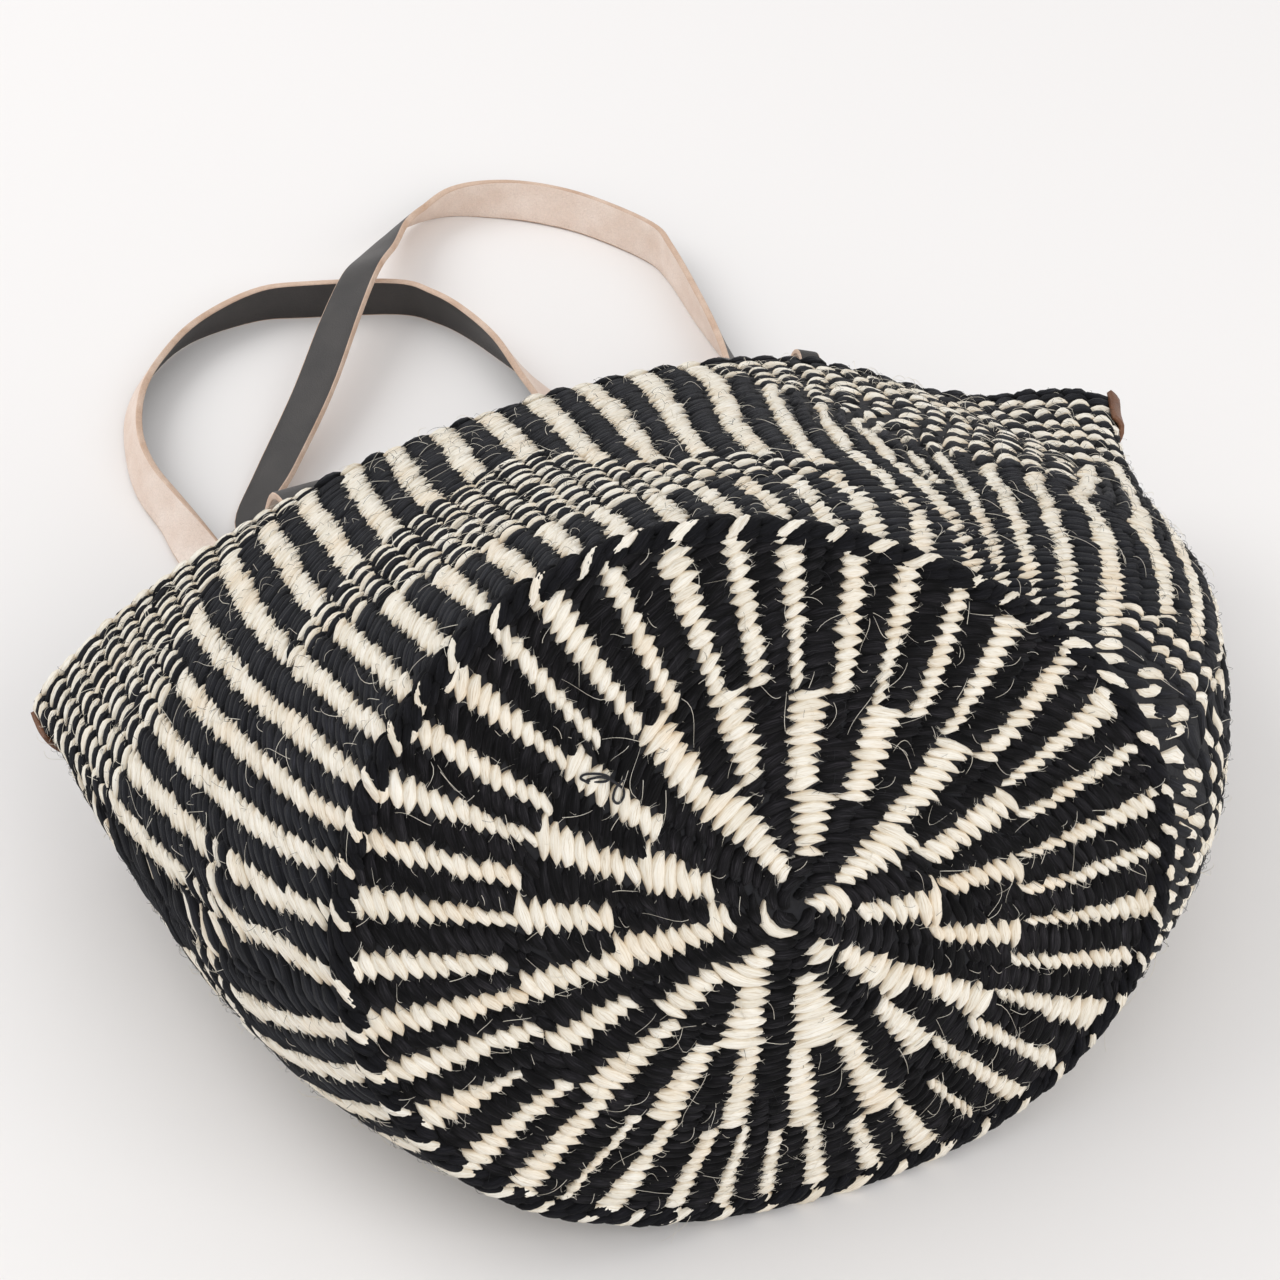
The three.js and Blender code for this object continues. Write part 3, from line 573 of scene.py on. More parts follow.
def stripePaths():
    paths = []
    for share in shareSteps:
        seen = [np.interp(share, wall["knots"], row) for row in wall["seen"]]
        around = np.linspace(seen[-1], seen[0] - 360, 400)
        ring = wallPoint(around, share)
        run = np.concatenate([[0], np.cumsum(np.linalg.norm(np.diff(ring, axis=0), axis=1))])
        steps = np.arange(1, wall["hidden"] + 1) / (wall["hidden"] + 1) * run[-1]
        paths.append(seen + list(np.interp(steps, run, around)))
    return np.array(paths)


paths = stripePaths()
stripeCount = paths.shape[1]
dipAngles, dipShares = zip(*wall["dip"])


def stripeAt(k, share):
    turns = 360 * (k // stripeCount)
    return np.interp(share, shareSteps, paths[:, k % stripeCount]) - turns


# Share at which a row lies at an angle. The part is the row's number over all rows.
def rowShare(part, angle):
    angle = (angle + 180) % 360 - 180
    knee = np.interp(angle, dipAngles, dipShares)
    dipPart = wall["dipPart"]
    if part < dipPart:
        share = knee * part / dipPart
    else:
        share = knee + (1 - knee) * (part - dipPart) / (1 - dipPart)
    return wall["from"] + (wall["to"] - wall["from"]) * share


def inBand(angle, share):
    angle = (angle + 180) % 360 - 180
    rimAngles, rimShares = zip(*wall["rimBand"])
    if share > np.interp(angle, rimAngles, rimShares):
        return True
    for band in wall["bands"]:
        angles, lows, highs = zip(*band)
        for at in (angle, angle + 360):
            if angles[0] < at < angles[-1]:
                if np.interp(at, angles, lows) < share < np.interp(at, angles, highs):
                    return True
    return False


# The band close to the base on the right: rows from and to, angles from and to.
def inEdgeBand(row, angle):
    first, last, low, high = wall["edgeBand"]
    return first <= row <= last and low < (angle + 180) % 360 - 180 < high


# Stitches of a row, each its middle and half its length in millimetres round the wall, and
# whether it lies in a cream stripe. Also the function that turns such a length into angles.
def rowStitches(part):
    turns = np.linspace(-540, 240, 1561)
    ring = wallPoint(turns, rowShare(part, turns))
    run = np.concatenate([[0], np.cumsum(np.linalg.norm(np.diff(ring, axis=0), axis=1))])
    centres = []
    for k in range(-1, stripeCount + 2):
        here = stripeAt(k, part)
        centres.append(stripeAt(k, rowShare(part, here)))
    far = np.interp(centres, turns, run)
    steps = far[:-1] - far[1:]
    halves = wall["creamPart"] * np.minimum(steps[:-1], steps[1:]) / 2

    def turned(middle, half):
        low, high = np.interp((middle - half, middle + half), run, turns)
        return (low + high) / 2, (high - low) / 2

    stitches = []
    at, lowest, highest = wall["extra"]
    for here, half, after, nextHalf in zip(far[1:], halves, far[2:], halves[1:]):
        stitches.append((here, half, True))
        start, gap = here - half, here - half - after - nextHalf
        middle = turned(start - gap / 2, 0)[0]
        extra = abs(middle - at) < 2 and lowest < rowShare(part, middle) < highest
        count = 3 if extra else max(1, round(gap / wall["blackLength"]))
        for k in range(count):
            stitches.append((start - gap * (k + .5) / count, gap / count / 2, extra and k == 1))
    return stitches, turned


def weaveWall(rows, first):
    laid = {"cream": [], "black": [], "bandCream": [], "bandBlack": []}
    for row in range(first, rows):
        part = (row + .5) / rows
        wander = dice.normal(0, .25)
        stitches, turned = rowStitches(part)
        for run, length, isCream in stitches:
            reach = wall["reach"][0 if isCream else 1] * jitter(.1)
            angle, half = turned(run, length * reach)
            share = rowShare(part, angle)
            pitch = rowShare(part + .5 / rows, angle) - rowShare(part - .5 / rows, angle)
            middle = angle + dice.normal(0, .16) + .25 * wander
            if inBand(angle, share) or inEdgeBand(row, angle):
                thin = row % 2
                kind = "bandBlack" if thin else "bandCream"
                laid[kind].append((middle, share, half,
                                   wall["bandRow"][thin] * pitch * jitter(.12),
                                   wall["bandSlant"] * pitch * jitter(.15),
                                   wall["bow"] * pitch * jitter(.2),
                                   wall["bandHeight"][thin] * jitter(.12)))
            else:
                high = wall["height"] if isCream else wall["blackHeight"]
                laid["cream" if isCream else "black"].append(
                    (middle, share + dice.normal(0, .05) * pitch,
                     half, wall["rowOverlap"] * pitch * jitter(.09),
                     wall["slant"] * pitch * jitter(.12), 0, high * jitter(.12)))
    return laid


wallLaid = weaveWall(wall["rows"], 0)
print("bag: wall woven,", sum(len(rows) for rows in wallLaid.values()), "stitches")
wallPieces = [
    layStitches("wall_cream_stitches", wallPoint, wallLaid["cream"], wallLook, creamOnWall),
    layStitches("wall_black_stitches", wallPoint, wallLaid["black"],
                dict(wallLook, point=2.2, taper=.75), blackOnWall),
    layStitches("band_cream_stitches", wallPoint, wallLaid["bandCream"], bandLook,
                sisal("cream sisal of the bands", dict(creamYarn, cells=72, strands=5))),
    layStitches("band_black_stitches", wallPoint, wallLaid["bandBlack"], bandLook,
                sisal("black sisal of the bands", dict(fuzzyBlackYarn, cells=72, strands=5))),
    backing("wall_backing", wallPoint, 241, (.004, 1, 60), 1.3),
    backing("wall_inside", wallPoint, 241, (.004, 1, 60), 1.4, side=-1),
]

# The part of the inside that shows through the mouth.
inside = {"rows": 50, "first": 25}
insideLook = {"quads": (5, 3), "point": 2, "taper": .75, "foot": 1.0, "tilt": .1, "cells": 64}
insideLaid = weaveWall(inside["rows"], inside["first"])
for tone, bandTone, material in (("cream", "bandCream", creamOnWall),
                                 ("black", "bandBlack", blackOnWall)):
    wallPieces.append(layStitches("inside_" + tone + "_stitches", wallPoint,
                                  insideLaid[tone] + insideLaid[bandTone], insideLook,
                                  material, side=-1))
onBag(wallPieces, "woven_wall")

# The twisted edge row, black with one cream stitch for each stripe of the wall.
edge = {"creamHalf": 2.9, "creamRow": .2, "creamSlant": .24, "height": 2.3, "lead": .6,
        "blackHeight": 2.0, "blackShares": (.22, .5, .78), "blackSteps": (.3, .72),
        "blackHalf": .36, "blackRow": .2, "blackSlant": .16, "stagger": .2,
        "usualStep": 7.2, "creamShare": .52}
edgeLook = {"quads": (9, 5), "point": 1.5, "taper": .8, "foot": .3, "tilt": .05, "cells": 20}
edgeCream, edgeBlack = [], []
for k in range(stripeCount):
    c, after = stripeAt(k, 0), stripeAt(k + 1, 0)
    reach = edge["creamHalf"] * (c - after) / edge["usualStep"]
    edgeCream.append((c - edge["lead"], edge["creamShare"] + dice.normal(0, .04),
                      reach * jitter(.12),
                      edge["creamRow"] * jitter(.14), edge["creamSlant"] * jitter(.15), 0,
                      edge["height"] * jitter(.1)))
    for share in edge["blackShares"]:
        for step in edge["blackSteps"]:
            at = c + (after - c) * (step + edge["stagger"] * (share - .5))
            edgeBlack.append((at, share, (c - after) * edge["blackHalf"] * jitter(.1),
                              edge["blackRow"] * jitter(.12), edge["blackSlant"] * jitter(.2),
                              0, edge["blackHeight"] * jitter(.14)))
onBag([
    layStitches("edge_cream_stitches", edgePoint, edgeCream, edgeLook,
                sisal("cream sisal of the edge", dict(creamYarn, cells=20))),
    layStitches("edge_black_stitches", edgePoint, edgeBlack, dict(edgeLook, point=1.9, cells=24),
                sisal("black sisal of the edge", dict(blackYarn, cells=24))),
    backing("edge_core", edgePoint, 181, (-.1, 1.2, 9), .2),
], "base_edge_braid")
print("bag: edge row done")

# The rim: the last row rolled over, each stripe ending in a small round lump.
rim = {"rows": 3, "height": 2.3, "creamHeight": 2.1, "reach": 1.16, "bandShare": .985,
       "creamFrom": 66, "rowHalf": .23, "slant": .09}
rimLook = {"quads": (6, 4), "point": 2.6, "taper": .6, "foot": .2, "tilt": .05, "cells": 32}
rimCream, rimBlack = [], []
stitches, turned = rowStitches(1)
for run, length, isCream in stitches:
    angle, half = turned(run, length * rim["reach"])
    banded = inBand(angle, rim["bandShare"])
    for row in range(rim["rows"]):
        toCream = row == 0 and angle > rim["creamFrom"] if banded else isCream
        rolled = rimCream if toCream else rimBlack
        high = rim["creamHeight"] if toCream else rim["height"]
        rolled.append((angle + dice.normal(0, .2), (row + .5) / rim["rows"], half,
                       rim["rowHalf"] * jitter(.1), rim["slant"], 0, high * jitter(.18)))
onBag([
    layStitches("rim_cream_stitches", rimPoint, rimCream, rimLook,
                sisal("cream sisal of the rim", dict(creamYarn, cells=32))),
    layStitches("rim_black_stitches", rimPoint, rimBlack, rimLook,
                sisal("black sisal of the rim", dict(fuzzyBlackYarn, cells=32))),
    backing("rim_core", rimPoint, 361, (-.3, 1.2, 12), .1),
], "rim_binding")
print("bag: rim done")


# Leather: dyed smooth grain side, raw flesh side, and the cut edge between.
def leather(name, look):
    material, tree, shader, node, ramp, mix = nodeTools(name)
    where = node("TexCoord").outputs["Object"]
    pores = node("TexNoise", Vector=where, Scale=look["poreScale"], Detail=5, Roughness=.65)
    creases = node("TexVoronoi", {"feature": "DISTANCE_TO_EDGE"}, Vector=where,
                   Scale=look["creaseScale"])
    patches = node("TexNoise", Vector=where, Scale=look["patchScale"], Detail=3)
    colour = ramp(patches.outputs[0], look["colours"])
    colour = mix("MULTIPLY", look["poreDepth"], colour,
                 ramp(pores.outputs[0], [(.35, (.6, .6, .6)), (.6, (1, 1, 1))]))
    fold = node("MapRange", Value=creases.outputs[0])
    fold.inputs[2].default_value = .12
    relief = node("Math", {"operation": "ADD"}, i0=fold.outputs[0], i1=pores.outputs[0])
    linkLook(shader, node, colour, pores.outputs[0], look["rough"], relief.outputs[0],
             look["bump"], .0003)
    return material


grainSide = leather("black grain leather", {
    "poreScale": 900, "creaseScale": 700, "patchScale": 45, "poreDepth": .35,
    "colours": [(.3, (.028, .025, .024)), (.7, (.05, .044, .041))],
    "rough": (.42, .56), "bump": .25})
fleshSide = leather("flesh side of the leather", {
    "poreScale": 1300, "creaseScale": 500, "patchScale": 60, "poreDepth": .25,
    "colours": [(.3, (.78, .62, .52)), (.7, (.88, .75, .66))],
    "rough": (.75, .95), "bump": .55})
cutEdge = leather("cut edge of the leather", {
    "poreScale": 1500, "creaseScale": 900, "patchScale": 90, "poreDepth": .4,
    "colours": [(.3, (.62, .42, .30)), (.7, (.76, .58, .46))],
    "rough": (.7, .9), "bump": .5})
brownLeather = leather("brown leather", {
    "poreScale": 900, "creaseScale": 620, "patchScale": 80, "poreDepth": .5,
    "colours": [(.3, (.13, .05, .022)), (.7, (.24, .105, .05))],
    "rough": (.4, .6), "bump": .4})

strap = {
    "width": 20, "thickness": 3, "sewn": 60, "beyondRim": 8, "gap": .3, "soft": .55,
    "upperAngles": (129, 57), "lowerAngles": (-130, -50), "steps": 6,
    "sewnSections": 8, "bendFrom": 8, "bendTo": 12,  # the bend, before and after the hinge
    # x, y, clear height under the leather, lean from on edge (0) to flat (90)
    "upper": [
        (-110, 55, 90, 90), (-109, 82, 52, 90), (-108, 112, 17, 84), (-107, 142, 1.5, 62),
        (-90, 165, 4.5, 72), (-60, 202, 12.5, 76), (-32, 242, 19, 72), (-14, 265, 22.5, 66),
        (1, 285, 15.5, 60), (16, 306, 7, 45), (32, 321, 1.5, 38), (52, 326, 0, 16),
        (74, 319, 0, -8), (93, 307, 0, -17), (111, 288, 0, -15), (129, 258, 0, -12),
        (132, 238, 0, -2), (130, 200, 0, 4), (127, 162, 3, 20), (118, 122, 22, 48),
        (102, 86, 59, 76), (87, 62, 88, 88)],
    "lower": [
        (-106, 22, 6, 88), (-122, 68, 0, 80), (-133, 108, 0, 64), (-138, 134, 0, 46),
        (-141, 154, 0, 27), (-145, 180, 0, 22), (-143, 206, 0, 20), (-134, 235, 0, 28),
        (-118, 258, 0, 32), (-95, 276, 0, 28), (-63, 283, 0, 10), (-39, 278, 0, 1),
        (2, 263, 0, 3), (16, 249, 0, 8), (25, 232, 0, 12), (33, 206, 0, 20), (39, 176, 0, 44),
        (47, 144, 0, 64), (62, 100, 0, 78), (84, 50, 2, 86), (99, 18, 8, 90)],
}


def slopes(angle, share):
    angle, share = np.array([float(angle)]), np.array([float(share)])
    before, after = np.maximum(0, share - .01), np.minimum(1, share + .01)
    around = (wallPoint(angle + 1.5, share) - wallPoint(angle - 1.5, share))[0] / 3
    along = (wallPoint(angle, after) - wallPoint(angle, before))[0] / (after - before)[0]
    return around, along


def wallAt(angle, share):
    return wallPoint(np.array([float(angle)]), np.array([float(share)]))[0]


def rimDirections(angle):
    around, along = slopes(angle, 1)
    sideways = unit(around * np.sign(around[0]))
    run = along - along.dot(sideways) * sideways
    return sideways, unit(run), float(np.linalg.norm(run))


# A point under the wall: out of the mouth along the rim's own direction, across, and deep.
def underWall(angle, along, across, depth):
    sideways, run, perShare = rimDirections(angle)
    share = 1 + min(along, 0) / perShare
    drift = (wallAt(angle, share) - wallAt(angle, 1)).dot(sideways)
    here = slopes(angle, share)[0]
    turned = angle + np.sign(here[0]) * (across - drift) / np.linalg.norm(here)
    out = unit(np.cross(*slopes(turned, share)[::-1]))
    return wallAt(turned, share) - out * depth + run * max(along, 0)


def smoothRow(rows, at):
    first = min(int(math.floor(at)), len(rows) - 2)
    t = at - first
    a, b, c, d = (rows[min(max(i, 0), len(rows) - 1)] for i in range(first - 1, first + 3))
    return b + .5 * t * (c - a + t * (2 * a - 5 * b + 4 * c - d + t * (3 * (b - c) + d - a)))


# Sections of a whole handle, each a centre, a direction across and a direction out.
def handleSections(angles, depths, rows):
    half, thick = strap["width"] / 2, strap["thickness"]
    hinges = [underWall(angle, strap["beyondRim"], 0, depths[0]) for angle in angles]
    axis = unit(hinges[1] - hinges[0])
    ends = []
    for point, angle in zip(hinges, angles):
        run = rimDirections(angle)[1]
        run = unit(run - run.dot(axis) * axis)
        down = unit(np.cross(run, axis))
        sections = []
        for i in range(strap["sewnSections"]):
            along = -strap["sewn"] * (1 - i / (strap["sewnSections"] - 1))
            a = underWall(angle, along, -half, depths[0])
            b = underWall(angle, along, half, depths[0])
            c = underWall(angle, along, half, depths[1])
            d = underWall(angle, along, -half, depths[1])
            sections.append(((a + b + c + d) / 4, unit(b - a), unit(a - d)))
        sections.append((point + down * thick / 2, axis, -down))
        ends.append((sections, run, point + down * thick / 2))
    lifted = []
    for x, y, clear, leanHere in rows:
        r = math.radians(leanHere)
        high = clear + (abs(math.cos(r)) * strap["width"] + abs(math.sin(r)) * thick) / 2
        lifted.append(np.array([x, y, high, leanHere]))
    first = np.append(ends[0][2] + ends[0][1] * strap["gap"], 90)
    last = np.append(ends[1][2] + ends[1][1] * strap["gap"], 90)
    path = [first] + lifted + [last]
    total = (len(path) - 1) * strap["steps"]
    free = []
    for i in range(1, total):
        x, y, z, leanHere = smoothRow(path, i / strap["steps"])
        ahead = smoothRow(path, min((i + .8) / strap["steps"], len(path) - 1))
        behind = smoothRow(path, max((i - .8) / strap["steps"], 0))
        run = unit(ahead[:3] - behind[:3])
        side = unit(np.array([run[1], -run[0], 0]))
        top = np.cross(side, run)
        r = math.radians(leanHere)
        across = top * math.cos(r) + side * math.sin(r)
        nearEnd = min(i, total - i)
        blend = min(max(1 - nearEnd / strap["steps"], 0), 1)
        sign = 1 if i < total / 2 else -1
        across = unit(across * (1 - blend) + axis * sign * blend)
        free.append((np.array([x, y, z]), across, unit(np.cross(across, run))))
    back = [(centre, -across, out) for centre, across, out in reversed(ends[1][0])]
    return ends[0][0] + free + back, hinges, ends


# Skin of a flat strip with rounded edges. Kinds: 0 outer face, 1 inner face, 2 cut edge.
def strip(name, sections, width, thick, soft, materials):
    w, t = width / 2, thick / 2
    profile = [(-w + soft, t, 0), (-w * .5, t * 1.02, 0), (0, t * 1.03, 0), (w * .5, t * 1.02, 0),
               (w - soft, t, 2), (w - soft * .25, t - soft * .3, 2), (w, t - soft, 2),
               (w, -t + soft, 2), (w - soft * .25, -t + soft * .3, 2), (w - soft, -t, 1),
               (w * .5, -t * 1.02, 1), (0, -t * 1.03, 1), (-w * .5, -t * 1.02, 1),
               (-w + soft, -t, 2), (-w + soft * .25, -t + soft * .3, 2), (-w, -t + soft, 2),
               (-w, t - soft, 2), (-w + soft * .25, t - soft * .3, 2)]
    around = len(profile)
    points = np.array([centre + across * p[0] + out * p[1]
                       for centre, across, out in sections for p in profile])
    points[:, 2] = np.maximum(points[:, 2], 0)
    faces = gridFaces(len(sections), around, looped=True)[:, ::-1]
    kinds = np.tile(np.array([p[2] for p in profile]), len(sections) - 1)
    column = np.tile(np.arange(around), len(sections) - 1)
    row = np.repeat(np.arange(len(sections) - 1), around)
    corners = np.array([(0, 0), (0, 1), (1, 1), (1, 0)])[::-1]
    uv = np.stack([(row[:, None] + corners[None, :, 0]) / (len(sections) - 1),
                   (column[:, None] + corners[None, :, 1]) / around], -1)
    uv = .005 + uv * .96
    caps = []
    for start in (0, (len(sections) - 1) * around):
        ring = list(range(start, start + around))
        for k in range(1, around // 2):
            quad = [ring[k - 1], ring[k], ring[-k - 1], ring[-k]]
            caps.append(quad if start else quad[::-1])
    caps = np.array(caps)
    capUv = np.full((len(caps), 4, 2), .98)
    capUv[:, 1, 0] = capUv[:, 2, 0] = .99
    capUv[:, 2, 1] = capUv[:, 3, 1] = .99
    return meshFrom(name, points, np.concatenate([faces, caps]),
                    np.concatenate([uv, capUv]), materials,
                    np.concatenate([kinds, np.full(len(caps), 2)]))


upperDepth = form["rimRadius"] + strap["gap"]
lowerDepth = upperDepth + form["rimRadius"] - form["halfWall"]
handles = [
    ("upper", strap["upperAngles"], (upperDepth, upperDepth + strap["thickness"]), strap["upper"],
     [grainSide, fleshSide, cutEdge]),
    ("lower", strap["lowerAngles"], (lowerDepth + strap["thickness"], lowerDepth), strap["lower"],
     [fleshSide, grainSide, cutEdge]),
]
for name, angles, depths, rows, materials in handles:
    sections, hinges, ends = handleSections(angles, depths, rows)
    piece = strip(name + "_strap", sections, strap["width"], strap["thickness"], strap["soft"],
                  materials)
    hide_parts(name + "_handle", name + "_handle_left_end", name + "_handle_right_end")
    middle = ((hinges[0] + hinges[1]) / 2 + place) * .001
    run = unit(ends[0][1] + ends[1][1])
    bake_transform(piece)
print("bag: handles laid")

# A folded leather loop under the rim, and brown patches over the mouth's corners that reach a
# little past the rim.
loop = {"width": 9, "thickness": 2, "eye": 5.5, "sewn": 24, "angle": 45, "neck": 6, "rise": .38,
        "soft": .4, "bends": 24}
near = upperDepth + loop["thickness"] / 2
far = near + loop["thickness"] + strap["gap"]
eye = loop["eye"] + loop["thickness"] / 2
openAt = math.asin((far - near) / 2 / eye)
eyeCentre = loop["neck"] + eye * math.cos(openAt)
flat = [*np.linspace(-loop["sewn"], 0, 5), loop["neck"] - 2]
line = [(along, near) for along in flat]
for i in range(loop["bends"] + 1):
    bend = openAt + (2 * math.pi - 2 * openAt) * i / loop["bends"]
    line.append((eyeCentre - eye * math.cos(bend), (near + far) / 2 - eye * math.sin(bend)))
line += [(along, far) for along in reversed(flat)]
sections = []
for i, (along, depth) in enumerate(line):
    a, b = line[max(i - 1, 0)], line[min(i + 1, len(line) - 1)]
    tangent = unit(np.array([b[0] - a[0], b[1] - a[1]]))
    half = loop["thickness"] / 2
    corner = [underWall(loop["angle"], along - s * half * tangent[1], w * loop["width"] / 2,
                        depth + s * half * tangent[0])
              for w, s in ((-1, -1), (1, -1), (1, 1), (-1, 1))]
    centre = sum(corner) / 4 + np.array([0, 0, max(along, 0) * loop["rise"]])
    sections.append((centre, unit(corner[1] - corner[0]), unit(corner[0] - corner[3])))
onBag([strip("closure_strap", sections, loop["width"], loop["thickness"],
                               loop["soft"], [grainSide, fleshSide, cutEdge])], "closure_loop")

tab = {"thickness": 2, "length": 14, "beyond": 4, "rimPart": .87, "shadeAndWear": .25,
       "angles": (185, -5), "reach": ((-4.6, 4), (-4, 6)),
       "nodes": ("side_tab_left", "side_tab_right")}
for middleAngle, reach, node in zip(tab["angles"], tab["reach"], tab["nodes"]):
    run = unit(slopes(middleAngle - form["twist"], 1)[1])
    edgeLine = wallPoint(middleAngle - form["twist"] + np.linspace(-6, 6, 60), 1)
    shares = np.linspace(.7, 1, 200)
    away = np.array([np.linalg.norm(edgeLine - wallAt(middleAngle - form["twist"], s),
                                    axis=1).min() for s in shares])
    first = shares[np.argmin(np.abs(away - tab["length"]))]
    columns, rowsUp = 32, 12
    outer, inner = [], []
    for i in range(rowsUp + 1):
        part = i / rowsUp
        share = min(first + (1 - first) * part / tab["rimPart"], 1)
        beyond = tab["beyond"] * max(0, part - tab["rimPart"]) / (1 - tab["rimPart"])
        angles = middleAngle + np.linspace(*reach, columns + 1) - form["twist"] * share
        point = wallPoint(angles, share) + run * beyond
        out = unit(np.cross(
            wallPoint(angles, min(share + .01, 1)) - wallPoint(angles, share - .01),
            wallPoint(angles + 1.5, share) - wallPoint(angles - 1.5, share)))
        shadeAndWear = tab["shadeAndWear"] * np.sin(np.linspace(0, 9, columns + 1) + part * 5)
        outer.append(point + out * (upperDepth + tab["thickness"] + shadeAndWear)[:, None])
        inner.append(point + out * upperDepth)
    loopRows = outer + inner[::-1]
    points = np.array(loopRows).reshape(-1, 3)
    points[:, 2] = np.maximum(points[:, 2], .1)
    count = len(loopRows)
    faces = gridFaces(count, columns + 1)
    closing = gridFaces(2, columns + 1)
    closing[:, [0, 1]] += (count - 1) * (columns + 1)
    closing[:, [2, 3]] -= columns + 1
    sideFaces = []
    for end in (0, columns):
        for i in range(count // 2 - 1):
            quad = [i * (columns + 1) + end, (i + 1) * (columns + 1) + end,
                    (count - 2 - i) * (columns + 1) + end, (count - 1 - i) * (columns + 1) + end]
            sideFaces.append(quad if end == 0 else quad[::-1])
    every = np.concatenate([faces, closing, np.array(sideFaces)])
    uv = np.stack([(every % (columns + 1)) / columns * .9 + .02,
                   (every // (columns + 1)) / count * .9 + .02], -1)
    onBag([meshFrom(node + "_patch", points, every, uv, [brownLeather])], node)
print("bag: loop and patches done")

# Crossed threads that hold the handle ends, on their inner faces.
thread = {
    "long": 6.5, "short": .72, "radius": .7, "place": -30, "steps": 13, "sides": 8,
    "nodes": {129: "upper_left_stitches", 57: "upper_right_stitches",
              -130: "lower_left_stitches", -50: "lower_right_stitches"},
}
material, tree, shader, node, ramp, mix = nodeTools("dark waxed thread")
threadUv = node("UVMap", {"uv_map": "OFBake"}).outputs["UV"]
twist = node("TexWave", {"wave_type": "BANDS", "bands_direction": "DIAGONAL"}, Vector=threadUv,
             Scale=30, Distortion=1)
tree.links.new(ramp(twist.outputs[0], [(0, (.012, .012, .014)), (1, (.05, .048, .05))]),
               shader.inputs["Base Color"])
twistBump = node("Bump", Height=twist.outputs[0], Strength=.5, Distance=.0003)
tree.links.new(twistBump.outputs[0], shader.inputs["Normal"])
shader.inputs["Roughness"].default_value = .6
for angle, nodeName in thread["nodes"].items():
    depth = (upperDepth if angle > 0 else lowerDepth) + strap["thickness"] + strap["gap"]
    middle = underWall(angle, thread["place"], 0, depth)
    right = unit(underWall(angle, thread["place"], 1, depth) - middle)
    up = underWall(angle, thread["place"] + 1, 0, depth) - middle
    up = unit(up - up.dot(right) * right)
    inward = np.cross(right, up)
    if inward.dot(middle - wallAt(angle, .9)) < 0:
        inward = -inward
    points, faces = [], []
    for turnBy in (45, 135, 0, 90):
        way = right * math.cos(math.radians(turnBy)) + up * math.sin(math.radians(turnBy))
        side = np.cross(inward, way)
        reach = thread["long"] if turnBy in (45, 135) else thread["long"] * thread["short"]
        start = len(points)
        for i in range(thread["steps"]):
            part = i / (thread["steps"] - 1) * 2 - 1
            rise = .15 + .55 * (1 - part ** 4) + (.15 if turnBy == 45 else 0)
            for j in range(thread["sides"]):
                bend = j / thread["sides"] * 2 * math.pi
                points.append(middle + way * reach * part + side * thread["radius"] * math.cos(bend)
                              + inward * (rise + .45 * math.sin(bend)))
        faces.append(gridFaces(thread["steps"], thread["sides"], looped=True) + start)
    faces = np.concatenate(faces)
    uv = np.stack([(faces // thread["sides"]) / 60, (faces % thread["sides"]) / thread["sides"]],
                  -1)
    onBag([meshFrom(nodeName + "_thread", np.array(points), faces, uv,
                                        [material])], nodeName)
print("bag: sewing done")

# Loose sisal fibres and short fuzz that stand off the weaving.
fibres = {
    "pale": {"base": 380, "wall": 1100, "length": (4, 20), "lift": (1, 4), "radius": .13},
    "dark": {"base": 300, "wall": 3000, "length": (2, 8), "lift": (.8, 2.6), "radius": .1},
    "segments": 7, "root": 2.4, "curl": .35,
}
fuzz = {
    "paleWall": {"count": 7000, "length": (1.2, 3.6), "lift": (.1, .9), "stray": .35},
    "darkWall": {"count": 9000, "length": (1.2, 3.6), "lift": (.2, 1.1), "stray": .4},
    "base": {"count": 5000, "length": (1.2, 3.4), "lift": (.1, .8), "stray": .35},
    "segments": 3, "radius": .11,
}
paleFibre = cloth("pale loose fibre", (.78, .72, .60), (.95, .92, .86))
darkFibre = cloth("dark loose fibre", (.012, .012, .015), (.03, .03, .036))
paleFuzz = cloth("pale fuzz", (.80, .74, .62), (.95, .92, .85))
darkFuzz = cloth("dark fuzz", (.006, .006, .008), (.02, .02, .025))


# Three-sided hairs: a list of centres and one of radii along them, with side and out across.
def hairs(name, centres, radii, side, out, material):
    count, rings = len(side), len(centres)
    points = np.zeros((count, rings, 3, 3))
    for i in range(rings):
        for k in range(3):
            bend = k * 2 * math.pi / 3
            across = side * math.cos(bend) + out * math.sin(bend)
            points[:, i, k] = centres[i] + across * radii[i]
    points = points.reshape(-1, 3)
    points[:, 2] = np.maximum(points[:, 2], .15)
    single = gridFaces(rings, 3, looped=True)
    faces = (single[None] + np.arange(count)[:, None, None] * rings * 3).reshape(-1, 4)
    uv = np.stack([(faces % 3) / 3, (faces // 3 % rings) / (rings - 1)], -1)
    onBag([meshFrom(name, points, faces, uv, [material])])


